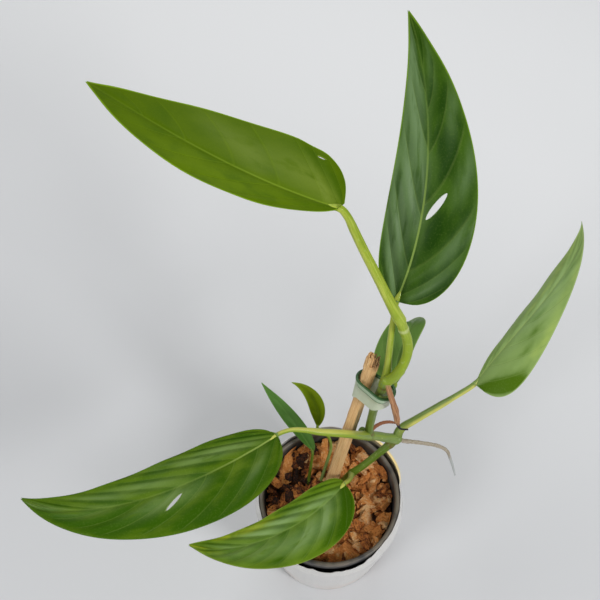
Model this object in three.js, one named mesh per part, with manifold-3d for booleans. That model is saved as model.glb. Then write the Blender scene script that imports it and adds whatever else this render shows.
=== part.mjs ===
// A potted climbing monstera: a black nursery pot in a torn film sleeve, filled with husk chips,
// with the vine tied to a split-wood stake. Millimetres, +Z up. The origin is the middle of the
// pot's base, and the front, where the sleeve is torn low, faces -Y.
import * as THREE from "three";
import { mergeVertices } from "three/addons/utils/BufferGeometryUtils.js";
import Module from "manifold-3d";

const wasm = await Module();
wasm.setup();

// Driving dimensions
const TOUCH_GAP = 0.3; // room between two pieces that touch
const POT_HEIGHT = 80;
const POT_MOUTH_RADIUS = 38.2; // inside, at the rim
const POT_BASE_RADIUS = 34.5;
const POT_WALL = 1;
const POT_FLOOR = 1.6;
const RIM_RADIUS = 40.8; // outside of the folded collar
const RIM_DEPTH = 6.5;
const DRAIN_HOLES = 8;
const DRAIN_HOLE_RADIUS = 3;
const DRAIN_CIRCLE_RADIUS = 25;
const SLEEVE_THICKNESS = 0.6;
const SLEEVE_FOOT_RADIUS = 34.9;
const SLEEVE_TOP_RADIUS = 43.1;
const SLEEVE_FOOT_HEIGHT = 1;
const SLEEVE_FRONT_HEIGHT = 71;
const SLEEVE_SIDE_HEIGHT = 80;
const SLEEVE_BACK_HEIGHT = 83;
const SUBSTRATE_LEVEL = 65;
const SUBSTRATE_BANK = 4; // how much higher the husk lies against the wall
const BANK_RADIUS = 25; // where it starts to rise
const CHIP_COUNT = 52;
const STAKE_WIDTH = 7.2;
const STAKE_DEPTH = 5;
const STAKE_FOOT = new THREE.Vector3(0.2, 9.8, 66); // where it enters the substrate
const STAKE_HEAD = new THREE.Vector3(20, 34.5, 195); // its broken top
const STAKE_SUNK = 50; // length below the substrate
const TIE_LEVEL = 176; // height of the tie's rolled edge
const TIE_WALL = 0.9;
const TIE_BEAD = 1.2;
const BLADE_THICKNESS = 0.75;
const FIRST_ROW = 0.004; // share of a blade's length where its outline starts
const STEM_RADIUS = 2.4;
const TURNED_SIDES = 40; // faces round the pot and what fills it
const RANDOM_SEED = 7;

const UP = new THREE.Vector3(0, 0, 1);

// Finishes, named after what they are
function finish(color, roughness, metalness = 0) {
  return new THREE.MeshStandardMaterial({ color, roughness, metalness });
}

const blackPlastic = finish(0x14171c, 0.45);
const paleFilm = finish(0xd9d6d2, 0.35);
const coconutHusk = finish(0x8a5230, 0.9);
const splitWood = finish(0xc79a66, 0.75);
const milkyPlastic = finish(0xbfcdb9, 0.35);
const stemGreen = finish(0x6f9a2c, 0.45);
const youngLeafGreen = finish(0x5d8f1d, 0.4);
const leafGreen = finish(0x2f6a24, 0.4);
const rootBrown = finish(0x7c6a55, 0.8);
const driedSheathTan = finish(0xb07a4a, 0.8);

// Repeatable random numbers from 0 to 1
let randomState = RANDOM_SEED;
function random() {
  randomState = (randomState * 16807) % 2147483647;
  return randomState / 2147483647;
}

function between(low, high) {
  return low + (high - low) * random();
}

// Solids, joined and cut
function solidOf(geometry) {
  const bare = geometry.clone();
  bare.deleteAttribute("normal");
  bare.deleteAttribute("uv");
  const merged = mergeVertices(bare, 1e-4);
  return new wasm.Manifold(
    new wasm.Mesh({
      numProp: 3,
      vertProperties: merged.attributes.position.array,
      triVerts: new Uint32Array(merged.index.array),
    }),
  );
}

function geometryOf(solid) {
  const mesh = solid.getMesh();
  const geometry = new THREE.BufferGeometry();
  geometry.setAttribute("position", new THREE.BufferAttribute(mesh.vertProperties, 3));
  geometry.setIndex(new THREE.BufferAttribute(mesh.triVerts, 1));
  return geometry;
}

function joined(solids) {
  return solids.reduce((whole, solid) => whole.add(solid));
}

// The main body of a solid: a sealed hollow in it is filled, and a loose scrap beside it is dropped.
function mainBody(solid) {
  return solid.decompose().reduce((main, other) => (other.volume() > main.volume() ? other : main));
}

const plant = new THREE.Group();

function addPiece(name, geometry, material) {
  const shaded = geometry.index ? geometry.toNonIndexed() : geometry;
  shaded.computeVertexNormals();
  const mesh = new THREE.Mesh(shaded, material);
  mesh.name = name;
  plant.add(mesh);
}

// A body through a row of outlines with equal numbers of points. The outlines run counter-clockwise
// about the way that the row goes. A looped row closes on itself, and any other has flat ends.
function loft(outlines, looped = false) {
  const count = outlines[0].length;
  const vertices = outlines.flat().flatMap((point) => [point.x, point.y, point.z]);
  const faces = [];
  const spans = looped ? outlines.length : outlines.length - 1;
  for (let span = 0; span < spans; span += 1) {
    const here = span * count;
    const there = ((span + 1) % outlines.length) * count;
    for (let side = 0; side < count; side += 1) {
      const next = (side + 1) % count;
      faces.push(here + side, here + next, there + next, here + side, there + next, there + side);
    }
  }
  if (!looped) {
    [outlines[0], outlines.at(-1)].forEach((outline, end) => {
      const middle = new THREE.Vector3();
      outline.forEach((point) => middle.addScaledVector(point, 1 / count));
      const centre = vertices.push(middle.x, middle.y, middle.z) / 3 - 1;
      const first = end * (outlines.length - 1) * count;
      for (let side = 0; side < count; side += 1) {
        const next = (side + 1) % count;
        const pair = end ? [first + side, first + next] : [first + next, first + side];
        faces.push(centre, ...pair);
      }
    });
  }
  const geometry = new THREE.BufferGeometry();
  geometry.setAttribute("position", new THREE.Float32BufferAttribute(vertices, 3));
  geometry.setIndex(faces);
  return geometry;
}

// A round tube on a smooth line through a route of [x, y, z, radius]. Any extra is added all round.
function tube(route, sides, stepsPerSpan, extra = 0) {
  const places = route.map(([x, y, z]) => new THREE.Vector3(x, y, z));
  const line = new THREE.CatmullRomCurve3(places, false, "centripetal");
  const steps = (route.length - 1) * stepsPerSpan;
  const outlines = [];
  let across = new THREE.Vector3(1, 0, 0);
  for (let step = 0; step <= steps; step += 1) {
    const tangent = line.getTangent(step / steps);
    if (step === 0 && Math.abs(tangent.x) > 0.8) across.set(0, 1, 0);
    across = across.clone().addScaledVector(tangent, -across.dot(tangent)).normalize();
    const other = new THREE.Vector3().crossVectors(tangent, across);
    const span = Math.min(Math.floor(step / stepsPerSpan), route.length - 2);
    const share = step / stepsPerSpan - span;
    const radius = THREE.MathUtils.lerp(route[span][3], route[span + 1][3], share) + extra;
    const centre = line.getPoint(step / steps);
    if (step === 0) centre.addScaledVector(tangent, -extra);
    if (step === steps) centre.addScaledVector(tangent, extra);
    outlines.push(
      Array.from({ length: sides }, (_, side) => {
        const angle = (side / sides) * 2 * Math.PI;
        return centre
          .clone()
          .addScaledVector(across, radius * Math.cos(angle))
          .addScaledVector(other, radius * Math.sin(angle));
      }),
    );
  }
  return loft(outlines);
}

// A turned body about the Z axis, from [radius, height] points that run round its section.
function turned(profile) {
  const points = profile.map(([radius, height]) => new THREE.Vector2(radius, height));
  return new THREE.LatheGeometry(points, TURNED_SIDES).rotateX(Math.PI / 2);
}

// Pot: an inverted cup of thin plastic, with its collar folded down outside the wall
function potWallRadius(height) {
  const outerMouth = POT_MOUTH_RADIUS + POT_WALL;
  return THREE.MathUtils.lerp(POT_BASE_RADIUS, outerMouth, height / POT_HEIGHT);
}

function pot() {
  const collarFoot = POT_HEIGHT - RIM_DEPTH;
  const collarInside = RIM_RADIUS - POT_WALL;
  const body = solidOf(
    turned(
      [
        [0, 0],
        [POT_BASE_RADIUS - 1.2, 0],
        [POT_BASE_RADIUS, 1.2],
        [potWallRadius(collarFoot), collarFoot],
        [potWallRadius(POT_HEIGHT - POT_WALL), POT_HEIGHT - POT_WALL],
        [collarInside, POT_HEIGHT - POT_WALL],
        [collarInside, collarFoot],
        [RIM_RADIUS, collarFoot],
        [RIM_RADIUS, POT_HEIGHT - 0.6],
        [RIM_RADIUS - 0.6, POT_HEIGHT],
        [POT_MOUTH_RADIUS, POT_HEIGHT],
        [POT_BASE_RADIUS - POT_WALL, POT_FLOOR],
        [0, POT_FLOOR],
      ],
    ),
  );
  const holes = Array.from({ length: DRAIN_HOLES }, (_, hole) => {
    const angle = (hole / DRAIN_HOLES) * 2 * Math.PI;
    const cutter = new THREE.CylinderGeometry(DRAIN_HOLE_RADIUS, DRAIN_HOLE_RADIUS, 10, 10);
    cutter.rotateX(Math.PI / 2);
    cutter.translate(DRAIN_CIRCLE_RADIUS * Math.cos(angle), DRAIN_CIRCLE_RADIUS * Math.sin(angle), 0);
    return solidOf(cutter);
  });
  return holes.reduce((whole, hole) => whole.subtract(hole), body);
}

// Sleeve: one thin wrap of film that stands round the pot, snug at the foot and loose at the collar,
// torn low at the front and proud at the back
function sleeveTop(angle) {
  const fromBack = THREE.MathUtils.euclideanModulo(angle - Math.PI / 2, 2 * Math.PI);
  const fromFront = Math.abs(fromBack - Math.PI);
  const sides = THREE.MathUtils.smoothstep(fromFront, 0.35, 0.8);
  const back = THREE.MathUtils.smoothstep(fromFront, 1.7, 2.2);
  const ragged = 0.5 * Math.sin(9 * angle) + 0.4 * Math.sin(17 * angle + 1);
  return (
    SLEEVE_FRONT_HEIGHT +
    (SLEEVE_SIDE_HEIGHT - SLEEVE_FRONT_HEIGHT) * sides +
    (SLEEVE_BACK_HEIGHT - SLEEVE_SIDE_HEIGHT) * back +
    ragged
  );
}

function sleeve() {
  const columns = 48;
  const bend = POT_HEIGHT - RIM_DEPTH - 4.5;
  const outlines = Array.from({ length: columns }, (_, column) => {
    const angle = -(column / columns) * 2 * Math.PI;
    const place = (radius, height) =>
      new THREE.Vector3(radius * Math.cos(angle), radius * Math.sin(angle), height);
    const top = sleeveTop(angle);
    return [
      place(SLEEVE_FOOT_RADIUS, SLEEVE_FOOT_HEIGHT),
      place(SLEEVE_FOOT_RADIUS + SLEEVE_THICKNESS, SLEEVE_FOOT_HEIGHT),
      place(SLEEVE_TOP_RADIUS + SLEEVE_THICKNESS, bend),
      place(SLEEVE_TOP_RADIUS + SLEEVE_THICKNESS, top),
      place(SLEEVE_TOP_RADIUS, top),
      place(SLEEVE_TOP_RADIUS, bend),
    ];
  });
  return loft(outlines, true);
}

// Stake: a flat split stick of two faces, whose top broke off into splinters
const stakeWay = new THREE.Vector3().subVectors(STAKE_HEAD, STAKE_FOOT).normalize();
const stakeAcross = new THREE.Vector3(1, 0, 0).projectOnPlane(stakeWay).normalize();
const stakeDepthWay = new THREE.Vector3().crossVectors(stakeWay, stakeAcross);
const STAKE_LENGTH = STAKE_HEAD.distanceTo(STAKE_FOOT);

function stakePlace(along, across, deep) {
  return STAKE_FOOT.clone()
    .addScaledVector(stakeWay, along)
    .addScaledVector(stakeAcross, across)
    .addScaledVector(stakeDepthWay, deep);
}

function stake(extra = 0) {
  const wide = STAKE_WIDTH / 2 + extra;
  const deep = STAKE_DEPTH / 2 + extra;
  const section = (along, slim) =>
    [
      [wide * slim, -0.45 * deep],
      [wide * slim, 0.6 * deep],
      [0.5 * wide, deep],
      [-0.6 * wide, 0.9 * deep],
      [-wide * slim, 0.3 * deep],
      [-wide * slim, -0.6 * deep],
      [-0.1 * wide, -deep],
      [0.6 * wide, -0.8 * deep],
    ].map(([across, depth]) => stakePlace(along, across, depth));
  const broken = STAKE_LENGTH - 9;
  const stick = solidOf(
    loft([
      section(-STAKE_SUNK - extra, 0.8),
      section(0, 1),
      section(0.6 * STAKE_LENGTH, 0.97),
      section(broken, 0.9),
    ]),
  );
  const splinters = [
    [-2.1, 0.3, 1.4, 9],
    [-0.6, -0.7, 1.3, 8],
    [0.7, 1, 1, 6.5],
    [1.7, -0.5, 0.9, 7.5],
    [2.7, 0.5, 0.8, 5],
    [3.5, -0.2, 0.6, 2.5],
  ].map(([across, deepness, radius, height]) => {
    const foot = stakePlace(broken - 3, across, deepness);
    const head = stakePlace(broken + height, across * 1.1, deepness);
    return solidOf(
      tube([[...foot.toArray(), radius + extra], [...head.toArray(), radius * 0.55 + extra]], 5, 1),
    );
  });
  return joined([stick, ...splinters]);
}

// Stem: four internodes that turn at swollen nodes, fused into one vine
const LOW_NODE = [13.4, 13.6, 80];
const SIDE_NODE = [38.1, 26.2, 103];
const MIDDLE_NODE = [21.2, 22.4, 117.5];
const TOP_NODE = [26.5, 25.9, 183];
const STEM_END = [30.4, 38.8, 223];

const internodes = [
  [[6.8, 11.6, 44, 2], [8.6, 12.9, 66, 2.1], [...LOW_NODE, 2.3],
    [19.2, 15.4, 87, 2.2], [26.7, 19.3, 94, 2.2], [32.2, 22.3, 99, 2.4], [...SIDE_NODE, 2.6]],
  [[...SIDE_NODE, 2.7], [31.6, 24.8, 108, 2.7], [26.2, 23.8, 113, 2.6], [...MIDDLE_NODE, 2.6]],
  [[...MIDDLE_NODE, STEM_RADIUS], [21, 23.6, 125, STEM_RADIUS], [21.5, 24.4, 138, STEM_RADIUS],
    [22.1, 23.4, 158, STEM_RADIUS], [23.5, 24.3, 169, STEM_RADIUS], [25.4, 25.4, 178, 2.6],
    [...TOP_NODE, 2.8]],
  [[...TOP_NODE, 2.8], [29.7, 26.2, 187, 2.7], [33.2, 28.4, 194, 2.5], [35.4, 32.8, 202, 2.5],
    [34.7, 35.8, 209, 2.5], [32, 37.7, 218, 2.5], [...STEM_END, 2.6]],
];
const nodeSwellings = [
  [...LOW_NODE, 2.7],
  [...SIDE_NODE, 3.6],
  [...MIDDLE_NODE, 3.4],
  [17.6, 24.5, 119, 2.4],
  [...TOP_NODE, 3.3],
];

function stem(extra = 0) {
  const runs = internodes.map((route) => solidOf(tube(route, 8, 2, extra)));
  const knots = nodeSwellings.map(([x, y, z, radius]) =>
    solidOf(new THREE.SphereGeometry(radius + extra, 10, 7).translate(x, y, z)),
  );
  return joined([...runs, ...knots]);
}

// Leaves. A blade hangs on its midrib, a Bezier line of four points from foot to tip. Its two
// halves, left then right as seen from the foot, have their own half width, place of the widest
// point, sharpness of the tip and lobe behind the foot. Rows across it sweep forward, as the side
// veins do. Roll, fold and cup tilt, crease and arch it, in degrees, degrees and millimetres.
// A petiole is a route of [x, y, z, radius] from the stem to the blade's foot.
const leaves = {
  leaf_1: {
    material: youngLeafGreen,
    midrib: [[0, 59, 288], [-46, 66, 302], [-86, 104, 294], [-118, 135, 282]],
    half: [14.4, 28], peak: [0.4, 0.19], tip: [1.02, 1.1], lobe: [-0.6, 1.7],
    sweep: 0.45, roll: [8, 0], fold: [6, 6], cup: 2,
    petiole: [[...STEM_END, 2.5], [27.8, 39.9, 229, 2.5], [23.5, 42.9, 238, 2.4], [17.2, 47.5, 252, 2.3],
      [11.3, 52.3, 264, 2.2], [6.4, 56.2, 275, 2.1], [3.2, 58, 283, 1.8], [0, 59.3, 287, 1.7]],
    slits: [{ from: [0.085, -0.78], to: [0.07, -0.92], width: 1.2 }],
  },
  leaf_2: {
    material: leafGreen,
    midrib: [[28.3, 46.7, 228], [45, 74, 263], [45, 118, 292], [33, 163, 300]],
    half: [17, 25], peak: [0.27, 0.28], tip: [1.04, 1.17], lobe: [-1, -0.7],
    sweep: 0.44, roll: [0, 0], fold: [8, 6], cup: 2,
    petiole: [[25.4, 25.4, 178, 2], [26.6, 29.8, 184, 1.8], [27, 34.7, 195, 1.6], [27.1, 38.5, 209, 1.6],
      [27.9, 44, 219, 1.5], [28.3, 46.5, 227.5, 1.5]],
    slits: [{ from: [0.285, -0.09], to: [0.345, -0.44], width: 3 }],
  },
  leaf_3: {
    material: leafGreen,
    midrib: [[32.9, 34.4, 159], [29.4, 48, 200], [52, 60.5, 203], [35, 70, 146]],
    half: [13.2, 7], peak: [0.19, 0.4], tip: [1.1, 1.1], lobe: [-0.3, -0.2],
    sweep: 0.44, roll: [-14, -28], fold: [8, 6], cup: 2,
    petiole: [[21.8, 24.6, 145, 1.4], [24.5, 29.5, 152, 1.4], [28.4, 31, 156, 1.3], [32.7, 34, 158.6, 1.3]],
    slits: [],
  },
  leaf_4: {
    material: leafGreen,
    midrib: [[-29, 10, 150], [-63, -20, 166], [-118, -48, 166], [-160, -23, 148]],
    half: [24.5, 16.5], peak: [0.31, 0.33], tip: [1.18, 1], lobe: [-1, -1],
    sweep: 0.44, roll: [0, 0], fold: [8, 6], cup: 3,
    petiole: [[...MIDDLE_NODE, 2.4], [15.6, 18, 129, 2.2], [9.7, 15.1, 138, 2.1], [1.4, 13.8, 143, 2.1],
      [-6.5, 13.6, 145, 2], [-15.5, 13.1, 149, 1.7], [-22.3, 12.3, 151, 1.4], [-29, 10.3, 149.6, 1.3]],
    slits: [{ from: [0.425, 0.5], to: [0.39, 0.17], width: 2.2 }],
  },
  leaf_5: {
    material: leafGreen,
    midrib: [[78, 43, 142], [101, 67, 170], [141, 101, 172], [145, 138, 160]],
    half: [10.5, 19.5], peak: [0.45, 0.14], tip: [1.49, 1.45], lobe: [-0.1, -0.6],
    sweep: 0.44, roll: [-28, -14], fold: [6, 10], cup: 9,
    petiole: [[...SIDE_NODE, 2.4], [39.4, 29, 107.5, 2.3], [41.8, 30.6, 110.5, 2.2], [45.8, 31.5, 115, 2.2],
      [52.7, 33.3, 122, 2.1], [60.4, 35.6, 129, 2], [68.5, 38.2, 136, 1.6], [77.8, 42.5, 141.6, 1.5]],
    slits: [],
  },
  leaf_6: {
    material: leafGreen,
    midrib: [[8, 3, 92], [-11, -24, 103], [-48, -44, 103], [-80, -31, 88]],
    half: [21.5, 13], peak: [0.31, 0.31], tip: [1.36, 0.76], lobe: [-0.3, 1.3],
    sweep: 0.45, roll: [0, 0], fold: [8, 6], cup: 3,
    petiole: [[...LOW_NODE, 2], [11.1, 6.6, 88, 1.5], [8.2, 3.2, 91.6, 1.3]],
    slits: [],
  },
  small_leaf_1: {
    material: leafGreen,
    midrib: [[-9.7, 22.8, 91], [-17, 31, 103], [-27, 41, 117], [-39, 50, 128]],
    half: [4.5, 5], peak: [0.5, 0.3], tip: [1, 1.15], lobe: [0, 0],
    sweep: 0.45, roll: [-30, -30], fold: [14, 10], cup: 1,
    petiole: [[-12.2, 12, 52, 1], [-12, 13.1, 66, 1], [-10.4, 19.4, 82, 0.9], [-9.8, 22.6, 90.8, 0.9]],
    slits: [],
  },
  small_leaf_2: {
    material: leafGreen,
    midrib: [[-7, 35, 98], [-4, 41, 108], [-9, 50, 119], [-22, 52, 124]],
    half: [5, 4.5], peak: [0.43, 0.43], tip: [1.1, 1.3], lobe: [0.2, 0.1],
    sweep: 0.45, roll: [0, 0], fold: [14, 10], cup: 1,
    petiole: [[-4.9, 12.5, 52, 1], [-4.5, 13.5, 66, 1], [-1.4, 20.9, 75, 1], [1.2, 28.2, 84, 0.9],
      [-0.4, 31.7, 91, 0.9], [-4.9, 33.8, 96, 0.9], [-7, 34.9, 97.8, 0.9]],
    slits: [],
  },
};

// Half width at a share of the way along, from 0 at both ends to 1 at the peak
function widthShare(along, peak, tip) {
  const foot = (tip * peak) / (1 - peak);
  const greatest = peak ** foot * (1 - peak) ** tip;
  return (along ** foot * (1 - along) ** tip) / greatest;
}

// Place, way, left and upward directions at a distance along a midrib
function midribFrame(leaf, distance) {
  const reach = THREE.MathUtils.clamp(distance, 0, leaf.length);
  const share = reach / leaf.length;
  const way = leaf.line.getTangentAt(share);
  const place = leaf.line.getPointAt(share).addScaledVector(way, distance - reach);
  const roll = THREE.MathUtils.degToRad(THREE.MathUtils.lerp(leaf.roll[0], leaf.roll[1], share));
  const left = new THREE.Vector3().crossVectors(UP, way).normalize().applyAxisAngle(way, roll);
  const upward = new THREE.Vector3().crossVectors(way, left);
  return { place, left, upward };
}

// A place in the blade: u runs from foot to tip, v from -1 at the right edge to 1 at the left, and
// deep is how far it lies under the upper face
function bladePlace(leaf, u, v, deep = 0) {
  const half = v < 0 ? 1 : 0;
  const out = Math.abs(v);
  const along = u + leaf.sweep * u * (1 - u);
  const edge = -leaf.lobe[half] + (leaf.length + leaf.lobe[half]) * along;
  const distance = leaf.length * u + (edge - leaf.length * u) * out ** 1.3;
  const width = out * leaf.half[half] * widthShare(along, leaf.peak[half], leaf.tip[half]);
  const { place, left, upward } = midribFrame(leaf, distance);
  const share = THREE.MathUtils.clamp(distance / leaf.length, 0, 1);
  const fold = THREE.MathUtils.degToRad(THREE.MathUtils.lerp(leaf.fold[0], leaf.fold[1], share));
  const droop = leaf.cup * (width / leaf.half[half]) ** 2;
  const slope = Math.tan(fold) - (2 * droop) / Math.max(width, 0.01);
  const down = upward.clone().addScaledVector(left, -Math.sign(v) * slope).normalize().negate();
  return place
    .addScaledVector(left, Math.sign(v) * width * Math.cos(fold))
    .addScaledVector(upward, width * Math.sin(fold) - droop)
    .addScaledVector(down, deep);
}

// A closed slab between two grids of places, split alike on both faces
function slab(upperGrid, lowerGrid) {
  const rows = upperGrid.length;
  const columns = upperGrid[0].length;
  const vertices = [...upperGrid.flat(), ...lowerGrid.flat()].flatMap((point) => point.toArray());
  const upper = (row, column) => row * columns + column;
  const lower = (row, column) => rows * columns + upper(row, column);
  const faces = [];
  const wall = (a, b, c, d) => faces.push(a, b, c, a, c, d);
  for (let row = 0; row < rows - 1; row += 1) {
    for (let column = 0; column < columns - 1; column += 1) {
      wall(upper(row, column), upper(row + 1, column), upper(row + 1, column + 1), upper(row, column + 1));
      faces.push(lower(row, column), lower(row + 1, column + 1), lower(row + 1, column));
      faces.push(lower(row, column), lower(row, column + 1), lower(row + 1, column + 1));
    }
    wall(upper(row, 0), lower(row, 0), lower(row + 1, 0), upper(row + 1, 0));
    const last = columns - 1;
    wall(upper(row + 1, last), lower(row + 1, last), lower(row, last), upper(row, last));
  }
  for (let column = 0; column < columns - 1; column += 1) {
    wall(upper(0, column), upper(0, column + 1), lower(0, column + 1), lower(0, column));
    const last = rows - 1;
    wall(upper(last, column + 1), upper(last, column), lower(last, column), lower(last, column + 1));
  }
  const geometry = new THREE.BufferGeometry();
  geometry.setAttribute("position", new THREE.Float32BufferAttribute(vertices, 3));
  geometry.setIndex(faces);
  return geometry;
}

// The blade's two faces, with rows close near the foot, where its outline turns fastest, and near
// the tip
function blade(leaf, rows, halfColumns) {
  const face = (deep) =>
    Array.from({ length: rows + 1 }, (_, row) => {
      const share = row / rows;
      const fromFoot = share ** 2.1;
      const u = FIRST_ROW + (0.98 - FIRST_ROW) * (fromFoot / (fromFoot + (1 - share) ** 1.2));
      return Array.from({ length: 2 * halfColumns + 1 }, (_, column) =>
        bladePlace(leaf, u, column / halfColumns - 1, deep),
      );
    });
  return slab(face(0), face(BLADE_THICKNESS));
}

// The raised rib under the blade, which the petiole runs on into
function rib(leaf, sides, steps) {
  const start = 0.7 * leaf.petiole.at(-1)[3];
  const route = Array.from({ length: steps + 1 }, (_, step) => {
    const share = step / steps;
    const radius = THREE.MathUtils.lerp(start, 0.35, share);
    const { place, upward } = midribFrame(leaf, (0.9 * share + 0.005) * leaf.length);
    place.addScaledVector(upward, -0.5 * BLADE_THICKNESS - 0.75 * radius);
    return [...place.toArray(), radius];
  });
  return tube(route, sides, 1);
}

// A slit is an oval hole through the blade, along a side vein
function slitCutter(leaf, { from, to, width }) {
  const ends = [bladePlace(leaf, ...from), bladePlace(leaf, ...to)];
  const way = new THREE.Vector3().subVectors(ends[1], ends[0]);
  const length = way.length();
  way.normalize();
  const { upward } = midribFrame(leaf, 0.5 * (from[0] + to[0]) * leaf.length);
  const side = new THREE.Vector3().crossVectors(upward, way).normalize();
  const through = new THREE.Vector3().crossVectors(way, side);
  const oval = new THREE.Shape().absellipse(0, 0, length / 2, width / 2, 0, 2 * Math.PI);
  const cutter = new THREE.ExtrudeGeometry(oval, { depth: 12, bevelEnabled: false, curveSegments: 14 });
  const middle = ends[0].clone().lerp(ends[1], 0.5).addScaledVector(through, -6);
  cutter.applyMatrix4(new THREE.Matrix4().makeBasis(way, side, through).setPosition(middle));
  return solidOf(cutter);
}

function leafSolid(leaf) {
  leaf.line = new THREE.CubicBezierCurve3(...leaf.midrib.map((place) => new THREE.Vector3(...place)));
  leaf.length = leaf.line.getLength();
  const small = leaf.length < 70;
  const { place, upward } = midribFrame(leaf, 0.035 * leaf.length);
  const stalkRadius = leaf.petiole.at(-1)[3];
  place.addScaledVector(upward, -0.5 * BLADE_THICKNESS - 0.6 * stalkRadius);
  const stalk = [...leaf.petiole, [...place.toArray(), 0.8 * stalkRadius]];
  const pieces = [
    solidOf(blade(leaf, small ? 10 : 16, small ? 3 : 4)),
    solidOf(tube(stalk, 7, small ? 1 : 2)),
    solidOf(rib(leaf, small ? 4 : 5, small ? 6 : 12)),
  ];
  return leaf.slits.reduce((whole, slit) => whole.subtract(slitCutter(leaf, slit)), joined(pieces));
}

// Tie: an oval collar bent round the stake and the stem, tall beside the stake and low beside the
// stem, with a rolled upper edge and small teeth inside its front
const TIE_STAKE_RADIUS = 5.4;
const TIE_STEM_RADIUS = 6.4;
const tieStakeSide = stakePlace((TIE_LEVEL - STAKE_FOOT.z) / stakeWay.z, 0, 0);
const tieStemSide = new THREE.Vector3(25.2, 24.6, TIE_LEVEL - 0.6);

function tieOutward(angle) {
  const side = new THREE.Vector3(Math.cos(angle), Math.sin(angle), 0);
  return side.addScaledVector(stakeWay, -side.dot(stakeWay)).normalize();
}

function tieEdge(angle) {
  const outward = tieOutward(angle);
  const reachOf = (centre, radius) => centre.dot(outward) + radius;
  const nearStake = reachOf(tieStakeSide, TIE_STAKE_RADIUS) > reachOf(tieStemSide, TIE_STEM_RADIUS);
  return nearStake
    ? tieStakeSide.clone().addScaledVector(outward, TIE_STAKE_RADIUS)
    : tieStemSide.clone().addScaledVector(outward, TIE_STEM_RADIUS);
}

function tie() {
  const steps = 32;
  const stakeSideAngle = THREE.MathUtils.degToRad(140);
  const outlines = Array.from({ length: steps }, (_, step) => {
    const angle = -(step / steps) * 2 * Math.PI;
    const outward = tieOutward(angle);
    const height = 13.5 + 7 * Math.cos(angle - stakeSideAngle);
    const inset = 0.02 * height;
    const edge = tieEdge(angle);
    const place = (out, down) =>
      edge.clone().addScaledVector(outward, out).addScaledVector(stakeWay, -down);
    return [
      place(-TIE_WALL - inset, height),
      place(-inset, height),
      place(-0.15, TIE_BEAD + 0.6),
      place(0.35, TIE_BEAD),
      place(0.35, 0.3),
      place(-0.4, 0),
      place(-TIE_WALL - 0.3, 0.3),
      place(-TIE_WALL - 0.15, TIE_BEAD + 0.6),
    ];
  });
  const collar = solidOf(loft(outlines, true));
  const teeth = Array.from({ length: 4 }, (_, tooth) => {
    const angle = THREE.MathUtils.degToRad(-112 + 16 * tooth);
    const outward = tieOutward(angle);
    const foot = tieEdge(angle).addScaledVector(outward, -0.5).addScaledVector(stakeWay, -1.5);
    const head = foot.clone().addScaledVector(outward, -2).addScaledVector(stakeWay, 1);
    return solidOf(tube([[...foot.toArray(), 0.6], [...head.toArray(), 0.35]], 5, 1));
  });
  return joined([collar, ...teeth]);
}

// Aerial roots and the withered sheath that hangs from the top node
const AERIAL_ROOT_1 = [
  [...SIDE_NODE, 1.3], [42.2, 25.2, 101.8, 1.3], [46.5, 25, 101, 1.2], [54.7, 24.7, 99, 1.1],
  [62.5, 24.3, 96, 1.1], [67.6, 23.3, 92, 1], [71.1, 22.1, 82, 0.8], [73.7, 19.4, 74, 0.7],
  [75.5, 16.5, 68, 0.5],
];
const AERIAL_ROOT_2 = [
  [...MIDDLE_NODE, 1.2], [24, 26.6, 118, 1.1], [28.5, 29.6, 117.5, 1], [33.2, 31.6, 114.5, 0.9],
  [37.4, 33, 109.5, 0.6],
];
const DRIED_SHEATH = [
  [...TOP_NODE, 1.3], [27.2, 21.2, 182.5, 1.3], [28.6, 17.3, 180, 1.4], [30.9, 14.4, 173, 1.6],
  [32.5, 12.4, 165.5, 1.5], [33.5, 11.1, 160.5, 0.8], [35.1, 10.5, 157, 0.45], [38.8, 10.6, 156, 0.45],
];

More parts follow.
